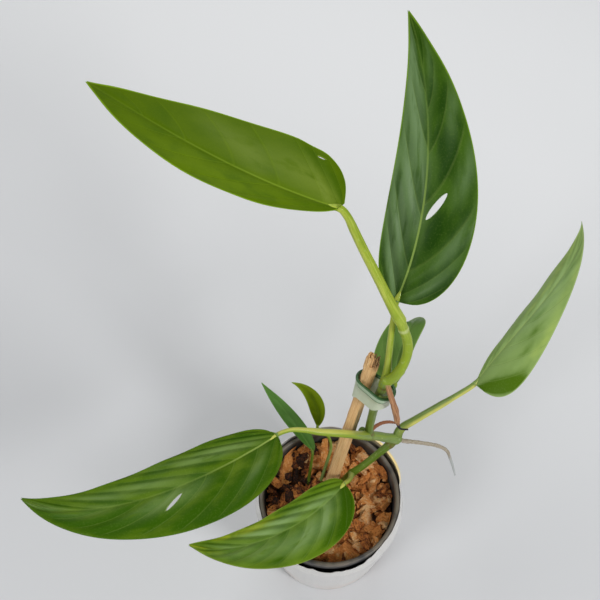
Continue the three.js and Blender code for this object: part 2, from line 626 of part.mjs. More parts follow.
// Substrate: a round plug with husk chips sunk into its top, and plain holes for what stands in it
function substrate() {
  const room = (height) => potWallRadius(height) - POT_WALL - TOUCH_GAP;
  const foot = POT_FLOOR + TOUCH_GAP;
  const roof = POT_HEIGHT + 2;
  const level = SUBSTRATE_LEVEL;
  const bank = level + SUBSTRATE_BANK;
  const plug = turned([
    [0, foot], [room(foot), foot], [room(bank), bank], [BANK_RADIUS, level], [0, level],
  ]);
  const bore = turned([[0, foot], [room(foot), foot], [room(roof), roof], [0, roof]]);
  const chip = (x, y, z, long, wide, thick, turn, tilt) => {
    const block = new THREE.BoxGeometry(long, wide, thick);
    const corners = block.attributes.position;
    const squeeze = between(0.55, 0.9);
    for (let corner = 0; corner < corners.count; corner += 1) {
      if (corners.getX(corner) > 0) corners.setY(corner, corners.getY(corner) * squeeze);
    }
    block.rotateY(tilt).rotateZ(turn).translate(x, y, z);
    return solidOf(block);
  };
  const chips = Array.from({ length: CHIP_COUNT }, (_, index) => {
    const angle = index * 2.4;
    const radius = 35 * Math.sqrt((index + 0.5) / CHIP_COUNT);
    const banked = SUBSTRATE_BANK * THREE.MathUtils.smoothstep(radius, BANK_RADIUS, room(bank));
    const height = level + banked + between(-0.8, 1.6);
    const [long, wide, thick] = [between(7, 13), between(4, 8), between(3, 6)];
    const [turn, tilt] = [between(0, 2 * Math.PI), between(-0.5, 0.5)];
    return chip(radius * Math.cos(angle), radius * Math.sin(angle), height, long, wide, thick, turn, tilt);
  });
  const uprightChips = [
    chip(-23.8, 26.2, 69, 17, 7, 5, 1.9, -0.75),
    chip(-8.5, 24, 68, 14, 4.5, 4, 1.6, -0.7),
    chip(27, 24, 69, 13, 5, 4, 1.5, -0.9),
  ];
  const whole = joined([solidOf(plug), ...chips, ...uprightChips]).intersect(solidOf(bore));
  const youngPetioles = [leaves.small_leaf_1, leaves.small_leaf_2].map((leaf) =>
    solidOf(tube(leaf.petiole, 7, 1, TOUCH_GAP)),
  );
  return mainBody(
    [stake(TOUCH_GAP), stem(TOUCH_GAP), ...youngPetioles].reduce(
      (left, hole) => left.subtract(hole),
      whole,
    ),
  );
}

// The pieces, each cut clear of the stem where it springs from it
const stemRoom = stem(TOUCH_GAP);

addPiece("pot", geometryOf(pot()), blackPlastic);
addPiece("sleeve", sleeve(), paleFilm);
addPiece("substrate", geometryOf(substrate()), coconutHusk);
addPiece("stake", geometryOf(stake()), splitWood);
addPiece("tie", geometryOf(tie()), milkyPlastic);
addPiece("stem", geometryOf(stem()), stemGreen);
for (const [name, leaf] of Object.entries(leaves)) {
  addPiece(name, geometryOf(mainBody(leafSolid(leaf).subtract(stemRoom))), leaf.material);
}
for (const [name, route, material] of [
  ["aerial_root_1", AERIAL_ROOT_1, rootBrown],
  ["aerial_root_2", AERIAL_ROOT_2, rootBrown],
  ["dried_sheath", DRIED_SHEATH, driedSheathTan],
]) {
  addPiece(name, geometryOf(mainBody(solidOf(tube(route, 6, 2)).subtract(stemRoom))), material);
}

export default plant;
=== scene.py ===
# A potted climbing monstera, dressed over its CAD frame: pot, film sleeve, husk chips, split-wood
# stake, vine, leaves, tie, aerial roots and a withered sheath. Places are in millimetres.
import math
import random

import bpy
import numpy as np
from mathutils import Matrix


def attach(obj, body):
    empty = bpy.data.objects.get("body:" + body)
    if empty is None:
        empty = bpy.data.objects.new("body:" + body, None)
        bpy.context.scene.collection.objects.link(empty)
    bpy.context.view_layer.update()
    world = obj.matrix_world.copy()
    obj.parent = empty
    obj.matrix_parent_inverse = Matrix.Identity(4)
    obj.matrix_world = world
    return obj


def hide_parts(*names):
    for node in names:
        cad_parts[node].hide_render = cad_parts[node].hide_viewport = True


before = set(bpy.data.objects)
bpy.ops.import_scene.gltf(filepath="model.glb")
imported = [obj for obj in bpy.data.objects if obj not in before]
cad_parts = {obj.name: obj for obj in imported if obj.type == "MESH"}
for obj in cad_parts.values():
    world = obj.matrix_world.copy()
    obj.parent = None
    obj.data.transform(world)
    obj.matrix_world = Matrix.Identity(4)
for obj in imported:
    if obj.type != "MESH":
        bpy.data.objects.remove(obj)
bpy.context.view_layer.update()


# Camera and studio. The photograph looks steeply down from the front at a pale grey sweep, under
# two wide softboxes that leave faint shadows on both sides.
def wide_colour(red, green, blue):
    """A colour from its 0 to 255 screen values."""
    shares = [value / 255 for value in (red, green, blue)]
    return tuple(s / 12.92 if s <= 0.04045 else ((s + 0.055) / 1.055) ** 2.4 for s in shares) + (1.0,)


class Wire:
    """A socket in a material's nodes. Sums and products of wires add Math nodes."""

    def __init__(self, tree, socket=None):
        self.tree = tree
        self.socket = socket

    def node(self, kind, settings=None, inputs=None, output=0):
        """Adds any other node: its type, its settings, and the values or wires of its sockets."""
        made = self.tree.nodes.new("ShaderNode" + kind)
        for name, value in (settings or {}).items():
            if name == "stops":
                ramp = made.color_ramp
                while len(ramp.elements) < len(value):
                    ramp.elements.new(1.0)
                for element, (place, shade) in zip(ramp.elements, value):
                    element.position = place
                    element.color = shade
            else:
                setattr(made, name, value)
        for name, value in (inputs or {}).items():
            self.join(value, made.inputs[name])
        return Wire(self.tree, made.outputs[output])

    def join(self, value, socket):
        """Links a wire to a socket, or sets the socket to a plain value."""
        if isinstance(value, Wire):
            self.tree.links.new(value.socket, socket)
        else:
            socket.default_value = value

    def maths(self, operation, first, second=0.0):
        """Adds one Math node."""
        return self.node("Math", {"operation": operation}, {0: first, 1: second})

    def __add__(self, other):
        return self.maths("ADD", self, other)

    __radd__ = __add__

    def __sub__(self, other):
        return self.maths("SUBTRACT", self, other)

    def __rsub__(self, other):
        return self.maths("SUBTRACT", other, self)

    def __mul__(self, other):
        return self.maths("MULTIPLY", self, other)

    __rmul__ = __mul__

    def __abs__(self):
        return self.maths("ABSOLUTE", self)

    def ease(self, low, high):
        """0 at low, 1 at high, smooth between them."""
        inputs = {"Value": self, "From Min": low, "From Max": high}
        return self.node("MapRange", {"interpolation_type": "SMOOTHSTEP"}, inputs)

    def mix(self, below, above):
        """From one colour to another as this value goes from 0 to 1."""
        return self.node("Mix", {"data_type": "RGBA"}, {0: self, 6: below, 7: above}, 2)

    def mark(self, name, part=None):
        """A named value on the mesh, or one part of it."""
        settings = {"attribute_name": name}
        if part is None:
            return self.node("Attribute", settings, output=2)
        return self.node("SeparateXYZ", None, {0: self.node("Attribute", settings, output=1)}, part)

    def stretched(self, name, scale):
        """A mesh's named vector, scaled unevenly."""
        marks = self.node("Attribute", {"attribute_name": name}, output=1)
        return self.node("VectorMath", {"operation": "MULTIPLY"}, {0: marks, 1: scale})

    def noise(self, place, scale, detail=2.0, roughness=0.5):
        """Soft random values about one half."""
        inputs = {"Vector": place, "Scale": scale, "Detail": detail, "Roughness": roughness}
        return self.node("TexNoise", None, inputs)

    def place(self):
        """Where a point lies on its piece, in metres."""
        return self.node("TexCoord", output=3)

    def bump(self, height, distance, strength=1.0):
        """A fine relief for the Normal socket."""
        inputs = {"Height": height, "Distance": distance, "Strength": strength}
        return self.node("Bump", None, inputs)


def new_finish(name, **constants):
    """A material with its constant values set on the shader's own sockets."""
    material = bpy.data.materials.new(name)
    material.use_nodes = True
    shader = material.node_tree.nodes["Principled BSDF"]
    for socket, value in constants.items():
        shader.inputs[socket.replace("_", " ")].default_value = value
    return material, Wire(material.node_tree), shader.inputs


def mesh_piece(name, places, faces, material, marks=None, smooth_to=40):
    """An object from places in millimetres, with named values for its vertices."""
    mesh = bpy.data.meshes.new(name)
    mesh.from_pydata((np.asarray(places, float) * 0.001).tolist(), [], faces)
    for mark, values in (marks or {}).items():
        values = np.asarray(values, np.float32)
        single = values.ndim == 1
        attribute = mesh.attributes.new(mark, "FLOAT" if single else "FLOAT_VECTOR", "POINT")
        attribute.data.foreach_set("value" if single else "vector", values.ravel())
    if material:
        mesh.materials.append(material)
    mesh.shade_smooth()
    mesh.set_sharp_from_angle(angle=math.radians(smooth_to))
    made = bpy.data.objects.new(name, mesh)
    bpy.context.scene.collection.objects.link(made)
    return made


CAMERA_PLACE = (-0.0171, -0.1817, 0.6412)
CAMERA_TILT = 29
SENSOR_WIDTH = 36
FOCAL_LENGTH = 60
camera_data = bpy.data.cameras.new("camera")
camera_data.sensor_width = SENSOR_WIDTH
camera_data.lens = FOCAL_LENGTH
camera_data.clip_start = 0.01
camera = bpy.data.objects.new("camera", camera_data)
camera.location = CAMERA_PLACE
camera.rotation_euler = (math.radians(CAMERA_TILT), 0, 0)
bpy.context.scene.collection.objects.link(camera)
bpy.context.scene.camera = camera
bpy.context.scene.view_settings.view_transform = "Standard"

grey_sweep, wires, sockets = new_finish("grey_sweep", Roughness=0.75)
mottle = wires.noise(wires.place(), 3.0)
across = wires.node("SeparateXYZ", None, {0: wires.place()}, 0)
away = wires.node("SeparateXYZ", None, {0: wires.place()}, 1)
# The floor is painted darker near the front and to the left, and lighter towards the back right: painted
# light falloff and shade.
painted_light_rise = (away + 0.3 * across + 0.02 * mottle).ease(0.0, 0.5)
floor_painted_light = painted_light_rise.mix(wide_colour(208, 209, 211), wide_colour(243, 244, 245))
wires.join(floor_painted_light, sockets["Base Color"])
FLOOR_REACH = 2500
corners = [(-1, -1), (1, -1), (1, 1), (-1, 1)]
floor_places = [(x * FLOOR_REACH, y * FLOOR_REACH, 0) for x, y in corners]
floor = mesh_piece("floor", floor_places, [(0, 1, 2, 3)], grey_sweep)


def softbox(name, place, aim, size, power):
    """A soft rectangular light turned towards its aim, in metres and watts."""
    lamp = bpy.data.lights.new(name, "AREA")
    lamp.shape = "RECTANGLE"
    lamp.size, lamp.size_y = size
    lamp.energy = power
    box = bpy.data.objects.new(name, lamp)
    box.location = place
    way = np.array(aim) - np.array(place)
    flat = math.hypot(way[0], way[1])
    box.rotation_euler = (math.atan2(flat, -way[2]), 0, math.atan2(way[1], way[0]) - math.pi / 2)
    bpy.context.scene.collection.objects.link(box)


softbox("left_softbox", (-0.68, -0.6, 0.85), (0, 0, 0.1), (0.34, 0.42), 4.2)
softbox("right_softbox", (0.66, -0.56, 0.85), (0, 0, 0.1), (0.26, 0.34), 6.4)
softbox("top_softbox", (-0.1, 0.75, 1.2), (0, 0.05, 0.15), (0.9, 0.6), 5.0)
studio_air = bpy.data.worlds.new("studio_air")
studio_air.use_nodes = True
air_light = studio_air.node_tree.nodes["Background"].inputs
air_light["Color"].default_value = (0.97, 0.985, 1.0, 1)
air_light["Strength"].default_value = 0.3
bpy.context.scene.world = studio_air


# Pot. A thin black nursery pot, blown from plastic: a smooth tapered wall, a collar folded down
# round its mouth, and eight holes in a floor with a low ring under it.
POT_HEIGHT = 80
POT_MOUTH_RADIUS = 38.2
POT_BASE_RADIUS = 34.5
POT_HOLES = 8
HOLE_RADIUS = 3
HOLE_CIRCLE_RADIUS = 25


def wall_radius(height):
    """Outside of the pot's wall."""
    return POT_BASE_RADIUS + (POT_MOUTH_RADIUS + 1 - POT_BASE_RADIUS) * height / POT_HEIGHT


def tube_faces(rings, sides):
    """Faces of a row of rings of places, with a middle place before the first and after the last."""
    last = 1 + rings * sides
    faces = []
    for side in range(sides):
        following = (side + 1) % sides
        faces.append((0, 1 + following, 1 + side))
        for ring in range(rings - 1):
            low = 1 + ring * sides
            high = low + sides
            faces.append((low + side, low + following, high + following, high + side))
        top = 1 + (rings - 1) * sides
        faces.append((top + side, top + following, last))
    return faces


def turned(profile, sides):
    """Places and faces of a turned body, from a section that starts and ends on the axis."""
    rings = profile[1:-1]
    places = [(0, 0, profile[0][1])]
    for radius, height in rings:
        for side in range(sides):
            angle = 2 * math.pi * side / sides
            places.append((radius * math.cos(angle), radius * math.sin(angle), height))
    places.append((0, 0, profile[-1][1]))
    return places, tube_faces(len(rings), sides)


def cut_away(piece, cutter):
    """Cuts a closed body out of a piece for good."""
    modifier = piece.modifiers.new("cut", "BOOLEAN")
    modifier.operation = "DIFFERENCE"
    modifier.solver = "EXACT"
    modifier.object = cutter
    bpy.context.view_layer.update()
    evaluated = piece.evaluated_get(bpy.context.evaluated_depsgraph_get())
    cut_mesh = bpy.data.meshes.new_from_object(evaluated)
    piece.modifiers.clear()
    piece.data = cut_mesh
    bpy.data.objects.remove(cutter)


black_plastic, wires, sockets = new_finish("black_plastic", Roughness=0.38, Specular_IOR_Level=0.5)
scuffs = wires.noise(wires.place(), 90, 4)
dust = wires.noise(wires.place(), 900, 2)
black_shade = scuffs.ease(0.35, 0.75).mix(wide_colour(44, 45, 48), wide_colour(80, 79, 77))
height = wires.node("SeparateXYZ", None, {0: wires.place()}, 2)
# The top of the rim is painted a lighter warm grey in patches: a painted highlight.
rim_top_highlight = height.ease(0.076, 0.0797) * scuffs.ease(0.25, 0.6)
black_shade = (0.7 * rim_top_highlight).mix(black_shade, wide_colour(122, 112, 96))
wires.join(black_shade, sockets["Base Color"])
wires.join(0.3 + 0.3 * scuffs, sockets["Roughness"])
wires.join(wires.bump(dust + scuffs, 0.0001, 0.4), sockets["Normal"])
pot_profile = [
    (0, 1.0),
    (POT_BASE_RADIUS - 6, 1.0),
    (POT_BASE_RADIUS - 5.6, 0.0),
    (POT_BASE_RADIUS - 1.4, 0.0),
    (POT_BASE_RADIUS - 0.4, 0.4),
    (wall_radius(1.4), 1.4),
    (wall_radius(30), 30),
    (wall_radius(30.8) - 0.25, 30.8),
    (wall_radius(31.6), 31.6),
    (wall_radius(73), 73),
    (wall_radius(78.6), 78.6),
    (39.8, 78.9),
    (39.85, 74.2),
    (40.3, 73.6),
    (40.75, 74.0),
    (40.8, 78.8),
    (40.5, 79.7),
    (39.9, 80.0),
    (39.1, 79.9),
    (38.5, 79.5),
    (38.15, 78.6),
    (wall_radius(60) - 0.9, 60),
    (wall_radius(30) - 0.9, 30),
    (wall_radius(4) - 1.0, 4),
    (POT_BASE_RADIUS - 2.2, 2.1),
    (0, 2.1),
]
pot = mesh_piece("pot_shell", *turned(pot_profile, 128), black_plastic)
places, faces = turned([(0, -2), (HOLE_RADIUS, -2), (HOLE_RADIUS, 6), (0, 6)], 20)
for hole in range(POT_HOLES):
    angle = hole / POT_HOLES * 2 * math.pi
    off_x = HOLE_CIRCLE_RADIUS * math.cos(angle)
    off_y = HOLE_CIRCLE_RADIUS * math.sin(angle)
    moved = [(x + off_x, y + off_y, z) for x, y, z in places]
    cut_away(pot, mesh_piece("drill", moved, faces, None))
pot.data.set_sharp_from_angle(angle=math.radians(40))
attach(pot, "root")
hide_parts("pot")


# Sleeve. A wrap of thin, pale, slightly glossy film round the pot. It was torn down at the front,
# where the black collar shows. At the back right its edge has dried to cream and rolled over.
FILM_COLUMNS = 180
FILM_ROWS = 13
FILM_FOOT = 0.4
FILM_THICKNESS = 0.28
FILM_FOOT_RADIUS = 35.2
FILM_TOP_RADIUS = 43.3
CREAM_MIDDLE = 34
CREAM_REACH = 26


def sleeve_top(angle):
    """Height of the film's ragged upper edge, round the pot."""
    from_front = abs((angle - math.pi / 2) % (2 * math.pi) - math.pi)
    sides = np.clip((from_front - 0.35) / 0.45, 0, 1)
    back = np.clip((from_front - 1.7) / 0.5, 0, 1)
    sides = sides * sides * (3 - 2 * sides)
    back = back * back * (3 - 2 * back)
    ragged = 0.5 * math.sin(9 * angle) + 0.4 * math.sin(17 * angle + 1)
    torn = 0.35 * math.sin(41 * angle) * (1 - back)
    return 73.6 + 6.4 * sides + 3 * back + ragged + torn


def dried_share(angle):
    """1 where the film's edge has dried to cream at the back right, and 0 elsewhere."""
    off = (math.degrees(angle) - CREAM_MIDDLE + 180) % 360 - 180
    return max(0.0, 1 - (abs(off) / CREAM_REACH) ** 4)


def film_radius(angle, share, top):
    """Outside of the film at a share of its height: it bulges, then leans in to the pot's rim."""
    height = FILM_FOOT + (top - FILM_FOOT) * share
    lean_in = np.clip((height - 70) / 9.5, 0, 1) ** 1.3
    smooth = FILM_FOOT_RADIUS + (FILM_TOP_RADIUS - FILM_FOOT_RADIUS) * min(height / 69, 1)
    smooth -= (2.2 - 1.9 * dried_share(angle)) * lean_in
    crease = 0.11 * math.sin(23 * angle + 2 * share) + 0.09 * math.sin(57 * angle - 5 * share)
    return smooth + 0.18 + crease * (0.4 + 0.6 * share) * (1 - 0.6 * lean_in)


def hoop_faces(columns, section):
    """Faces of a closed band, from its sections of as many places each."""
    faces = []
    for column in range(columns):
        here = column * section
        there = ((column + 1) % columns) * section
        for side in range(section):
            following = (side + 1) % section
            faces.append((here + side, here + following, there + following, there + side))
    return faces


pale_film, wires, sockets = new_finish(
    "pale_film", Roughness=0.26, Coat_Weight=0.5, Coat_Roughness=0.12
)
cloud = wires.noise(wires.place(), 60, 3)
streaks = wires.noise(wires.stretched("film", (9.0, 60.0, 1.0)), 1.0, 3)
milk = cloud.mix(wide_colour(220, 218, 216), wide_colour(232, 229, 224))
blush = wires.mark("film", 1).ease(0.35, 0.0) * cloud.ease(0.3, 0.7)
milk = blush.mix(milk, wide_colour(228, 210, 200))
cream = wires.mark("cream")
wires.join(cream.mix(milk, wide_colour(246, 220, 150)), sockets["Base Color"])
wires.join(0.2 + 0.25 * streaks, sockets["Roughness"])
wires.join(wires.bump(streaks, 0.0004, 0.5), sockets["Normal"])
places, film_marks, cream_marks = [], [], []
for column in range(FILM_COLUMNS):
    angle = 2 * math.pi * column / FILM_COLUMNS
    top = sleeve_top(angle)
    dried = dried_share(angle)
    for inside in (False, True):
        for row in range(FILM_ROWS):
            share = row / (FILM_ROWS - 1) if inside else 1 - row / (FILM_ROWS - 1)
            rolled = 1.5 * dried * max(0.0, 12 * share - 11)
            depth = FILM_THICKNESS if inside else 0.0
            radius = film_radius(angle, share, top) - depth + (-0.2 if inside else 0.5) * rolled
            height = FILM_FOOT + (top - FILM_FOOT) * share
            places.append((radius * math.cos(angle), radius * math.sin(angle), height))
            film_marks.append((math.degrees(angle), share, depth))
            cream_marks.append(dried * max(0.0, min(1.0, (share - 0.9) / 0.04)))
faces = hoop_faces(FILM_COLUMNS, 2 * FILM_ROWS)
marks = {"film": film_marks, "cream": cream_marks}
sleeve = mesh_piece("film_sleeve", places, faces, pale_film, marks, 60)
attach(sleeve, "root")
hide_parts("sleeve")


# Substrate. Coconut husk, cut into rough chips and crumbs that lie loose on a darker root ball.
# Nothing holds them but their weight, and the vine and the stake stand in them.
SUBSTRATE_LEVEL = 65
SUBSTRATE_BANK = 4
CHIPS = 560
CHIPS_REACH = 36.6
CRUMB_SHARE = 0.4
GOLDEN_ANGLE = 2.39996
luck = random.Random(11)
# Hollows that few chips cover, where the dark-painted root ball shows as shade: x, y and width.
HOLLOWS = [
    (-20, 17, 6), (-7, 19, 3.5), (13, 30, 4), (16.8, 6.7, 2.6), (34, -5, 5), (26, -9, 3), (-30, 4, 4),
]

husk_ball, wires, sockets = new_finish("husk_ball", Roughness=0.95)
crumbs = wires.noise(wires.place(), 420, 5, 0.65)
# The root ball's husk is painted very dark, as the shade in the gaps between the chips.
husk_painted_shade = crumbs.ease(0.35, 0.7).mix(wide_colour(30, 16, 6), wide_colour(100, 58, 26))
wires.join(husk_painted_shade, sockets["Base Color"])
wires.join(wires.bump(crumbs, 0.0015), sockets["Normal"])


def inner_radius(height):
    """The room inside the pot's wall."""
    return wall_radius(height) - 1.4


ball_profile = [(0, 2.3), (inner_radius(5) - 2, 2.3), (inner_radius(5), 5), (inner_radius(60), 60)]
ball_profile += [(inner_radius(66) - 0.5, 66), (30, 64.5), (24, 63.2), (14, 63.6), (0, 63.6)]
ball = mesh_piece("root_ball", *turned(ball_profile, 72), husk_ball)
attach(ball, "root")
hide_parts("substrate")


def turn_of(long_way, roll):
    """Three square directions, the first along long_way."""
    first = np.array(long_way, float) / np.linalg.norm(long_way)
    guide = np.array((0.0, 0.0, 1.0)) if abs(first[2]) < 0.9 else np.array((1.0, 0.0, 0.0))
    second = np.cross(guide, first)
    second /= np.linalg.norm(second)
    third = np.cross(first, second)
    turned_second = second * math.cos(roll) + third * math.sin(roll)
    return first, turned_second, np.cross(first, turned_second)


def chip(centre, size, long_way, roll, tone, places, faces, marks):
    """One broken chip: a block of 4 by 3 by 2 places, split and rounded unevenly."""
    ways = turn_of(long_way, roll)
    start = len(places)
    counts = (4, 3, 2)
    skew = [luck.uniform(-0.25, 0.25) for _ in range(4)]
    for i in range(counts[0]):
        for j in range(counts[1]):
            for k in range(counts[2]):
                x = i / 3 * 2 - 1
                y = j - 1.0
                z = k * 2 - 1.0
                slim = 1 - 0.3 * abs(x) ** 2 + skew[0] * x
                thin = 1 - 0.25 * abs(y) + skew[1] * x
                step = [
                    size[0] / 2 * (x + skew[2] * y + luck.uniform(-0.13, 0.13)),
                    size[1] / 2 * (y * slim + skew[3] * z + luck.uniform(-0.14, 0.14)),
                    size[2] / 2 * (z * thin + luck.uniform(-0.25, 0.25)),
                ]
                place = np.array(centre, float)
                for way, length in zip(ways, step):
                    place = place + way * length
                reach = math.hypot(place[0], place[1])
                room = inner_radius(place[2]) - 0.2
                if reach > room:
                    place[0] *= room / reach
                    place[1] *= room / reach
                places.append(tuple(place))
                marks["grain"].append(tuple(step))
                marks["tone"].append(tone)

    def at(i, j, k):
        """Number of a place in the block."""
        return start + (i * counts[1] + j) * counts[2] + k

    for i in range(3):
        for j in range(2):
            faces.append((at(i, j, 1), at(i + 1, j, 1), at(i + 1, j + 1, 1), at(i, j + 1, 1)))
            faces.append((at(i, j, 0), at(i, j + 1, 0), at(i + 1, j + 1, 0), at(i + 1, j, 0)))
        faces.append((at(i, 0, 0), at(i + 1, 0, 0), at(i + 1, 0, 1), at(i, 0, 1)))
        faces.append((at(i, 2, 1), at(i + 1, 2, 1), at(i + 1, 2, 0), at(i, 2, 0)))
    for j in range(2):
        faces.append((at(0, j, 0), at(0, j, 1), at(0, j + 1, 1), at(0, j + 1, 0)))
        faces.append((at(3, j, 0), at(3, j + 1, 0), at(3, j + 1, 1), at(3, j, 1)))


husk, wires, sockets = new_finish("husk_chips", Roughness=0.9)
fibre = wires.noise(wires.stretched("grain", (0.25, 1.6, 1.6)), 1.3, 4, 0.6)
patch = wires.noise(wires.place(), 380, 4, 0.6)
specks = wires.noise(wires.place(), 1100, 3, 0.6)
tone = wires.mark("tone") + 0.9 * (fibre - 0.5) + 1.0 * (patch - 0.5) + 0.7 * (specks - 0.5)
stops = [
    (0.0, wide_colour(44, 20, 6)),
    (0.22, wide_colour(116, 60, 22)),
    (0.5, wide_colour(202, 122, 54)),
    (0.8, wide_colour(226, 152, 80)),
    (1.0, wide_colour(236, 190, 134)),
]
shade = wires.node("ValToRGB", {"stops": stops}, {0: tone})
wires.join(shade, sockets["Base Color"])
wires.join(wires.bump(fibre + patch + 0.6 * specks, 0.0012, 1.0), sockets["Normal"])
places, faces = [], []
marks = {"grain": [], "tone": []}
for index in range(CHIPS):
    angle = index * GOLDEN_ANGLE
    radius = CHIPS_REACH * math.sqrt((index + 0.5) / CHIPS)
    crumb = luck.random() < CRUMB_SHARE
    length = luck.uniform(2.5, 4.5) if crumb else luck.uniform(5, 12)
    size = (length, length * luck.uniform(0.35, 0.7), length * luck.uniform(0.3, 0.55))
    bank = min(1, max(0, (radius - 24) / 12)) ** 1.5 * SUBSTRATE_BANK
    height = SUBSTRATE_LEVEL + bank + luck.uniform(-1.4, 1.5) + (1.0 if crumb else 0)
    turn = luck.uniform(0, 2 * math.pi)
    way = (math.cos(turn), math.sin(turn), luck.uniform(-0.8, 0.8))
    centre = (radius * math.cos(angle), radius * math.sin(angle), height)
    # On the left the chips are painted darker and a few are left out, as painted shade.
    shady_side = min(1, max(0, (-2 - centre[0]) / 12))
    hollow = any(math.hypot(centre[0] - x, centre[1] - y) < wide for x, y, wide in HOLLOWS)
    if luck.random() < max(0.08 * shady_side, 0.8 * hollow):
        continue
    tone_value = min(1, max(0, luck.gauss(0.66 - 0.4 * shady_side, 0.25)))
    chip(centre, size, way, luck.uniform(-0.8, 0.8), tone_value, places, faces, marks)
# The large chips at the back: centre, size, long way, roll and tone.
LARGE_CHIPS = [
    ((-25.8, 24, 70.5), (26, 6.5, 4), (0.06, 0.9, 0.25), 0.5, 0.72),
    ((-15.5, 26.5, 68), (8, 5.5, 4), (0.6, 0.5, 0.2), 0.2, 1.0),
    ((-2.2, 31, 70), (14, 4.5, 3.5), (0.02, 0.85, 0.4), 0.1, 0.75),
    ((22, 31, 70), (13, 4.5, 3.5), (0.05, 0.85, 0.4), 0.2, 0.8),
    ((16, 33, 69), (11, 5, 4), (-0.2, 0.8, 0.3), 0.4, 0.3),
]
for centre, size, way, roll, tone_value in LARGE_CHIPS:
    chip(centre, size, way, roll, tone_value, places, faces, marks)
chips = mesh_piece("husk_chips", places, faces, husk, marks, 25)
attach(chips, "root")


# Stake. A stick split from light wood, with flat faces and a torn top of splinters. It is pushed
# down through the husk and leans to the back right.
STAKE_FOOT = np.array((0.2, 9.8, 66.0))
STAKE_HEAD = np.array((20.0, 34.5, 195.0))
stake_way = (STAKE_HEAD - STAKE_FOOT) / np.linalg.norm(STAKE_HEAD - STAKE_FOOT)
stake_across = np.array((1.0, 0.0, 0.0)) - stake_way * stake_way[0]
stake_across /= np.linalg.norm(stake_across)
stake_deep = np.cross(stake_way, stake_across)
STAKE_LENGTH = float(np.linalg.norm(STAKE_HEAD - STAKE_FOOT))

split_wood, wires, sockets = new_finish("split_wood", Roughness=0.75)
grain = wires.noise(wires.stretched("grain", (2.2, 2.2, 0.06)), 1.0, 5, 0.65)
fine_grain = wires.noise(wires.stretched("grain", (9.0, 9.0, 0.12)), 1.0, 3)
stops = [
    (0.25, wide_colour(142, 96, 54)),
    (0.42, wide_colour(220, 166, 104)),
    (0.62, wide_colour(244, 202, 144)),
    (0.85, wide_colour(250, 222, 176)),
]
shade = wires.node("ValToRGB", {"stops": stops}, {0: 0.6 * grain + 0.5 * fine_grain})
along = wires.mark("grain", 2)
across = wires.mark("grain", 0)
# A dark olive-brown band partway up the right face of the stake.
dark_olive_band = along.ease(52, 66) * along.ease(98, 80) * across.ease(0.4, 1.6)
dark_olive_band = dark_olive_band * (0.35 + grain).ease(0.6, 0.9)
shade = dark_olive_band.mix(shade, wide_colour(92, 84, 44))
# The right side of the torn top is painted dark brown: painted shade.
painted_top_shade = along.ease(STAKE_LENGTH - 13, STAKE_LENGTH - 6) * across.ease(-0.4, 0.9)
painted_top_shade = painted_top_shade * fine_grain.ease(0.38, 0.56)
wires.join(painted_top_shade.mix(shade, wide_colour(78, 46, 14)), sockets["Base Color"])
wires.join(wires.bump(grain + fine_grain, 0.0006, 0.8), sockets["Normal"])

STAKE_SECTION = [
    (1, -0.45), (1, 0.6), (0.5, 1), (-0.6, 0.9), (-1, 0.3), (-1, -0.6), (-0.1, -1), (0.6, -0.8),
]
STAKE_HALF_WIDTH = 3.6
STAKE_HALF_DEPTH = 2.5
STAKE_BURIED = 50
SPLINTERS = 64
rings = 40
sides = 32
luck = random.Random(5)
ripple = np.random.default_rng(5).normal(0, 1, (rings, sides))
broken = STAKE_LENGTH - 8
places, stake_grain = [], []


def stake_place(along, across, deep):
    """Adds a place at a distance along the stake, and off its middle line."""
    place = STAKE_FOOT + stake_way * along + stake_across * across + stake_deep * deep
    places.append(tuple(place))
    stake_grain.append((across, deep, along))


stake_place(-STAKE_BURIED, 0, 0)
for ring in range(rings):
    along_mm = -STAKE_BURIED + (broken + STAKE_BURIED) * ring / (rings - 1)
    slim = 0.8 + 0.2 * min(1, (along_mm + STAKE_BURIED) / STAKE_BURIED)
    slim -= 0.08 * max(0, along_mm) / broken
    for side in range(sides):
        corner = side / sides * len(STAKE_SECTION)
        first = STAKE_SECTION[int(corner)]
        second = STAKE_SECTION[(int(corner) + 1) % len(STAKE_SECTION)]
        share = corner - int(corner)
        x = first[0] + (second[0] - first[0]) * share
        y = first[1] + (second[1] - first[1]) * share
        chipped = 1 + 0.018 * ripple[ring, side] + 0.02 * math.sin(1.7 * side + 0.11 * along_mm)
        thick = slim * chipped
        stake_place(along_mm, x * STAKE_HALF_WIDTH * thick, y * STAKE_HALF_DEPTH * thick)
stake_place(broken, 0, 0)
faces = tube_faces(rings, sides)
for splinter in range(SPLINTERS):
    start = len(places)
    across_mm = luck.uniform(-3.2, 3.4)
    deep_mm = luck.uniform(-1.9, 2.0)
    light_side = across_mm < 0.2
    tall = luck.uniform(6, 8.5) if light_side else luck.uniform(1.5, 7.0)
    wide = luck.uniform(0.5, 0.9) if light_side else luck.uniform(0.22, 0.5)
    lean = luck.uniform(-0.8, 0.5)
    stake_place(broken - 3, across_mm, deep_mm)
    for step, share in ((0, 1.0), (0.55, 1.0), (0.9, 0.8), (1.0, 0.5)):
        for side in range(5):
            angle = 2 * math.pi * side / 5
            off = lean * step
            stake_place(
                broken - 3 + (tall + 3) * step,
                across_mm + off + wide * share * math.cos(angle),
                deep_mm + 0.4 * off + wide * share * math.sin(angle),
            )
    stake_place(broken + tall, across_mm + lean, deep_mm + 0.4 * lean)
    faces += [tuple(start + corner for corner in face) for face in tube_faces(4, 5)]
stake = mesh_piece("split_stake", places, faces, split_wood, {"grain": stake_grain}, 30)
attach(stake, "root")
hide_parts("stake")


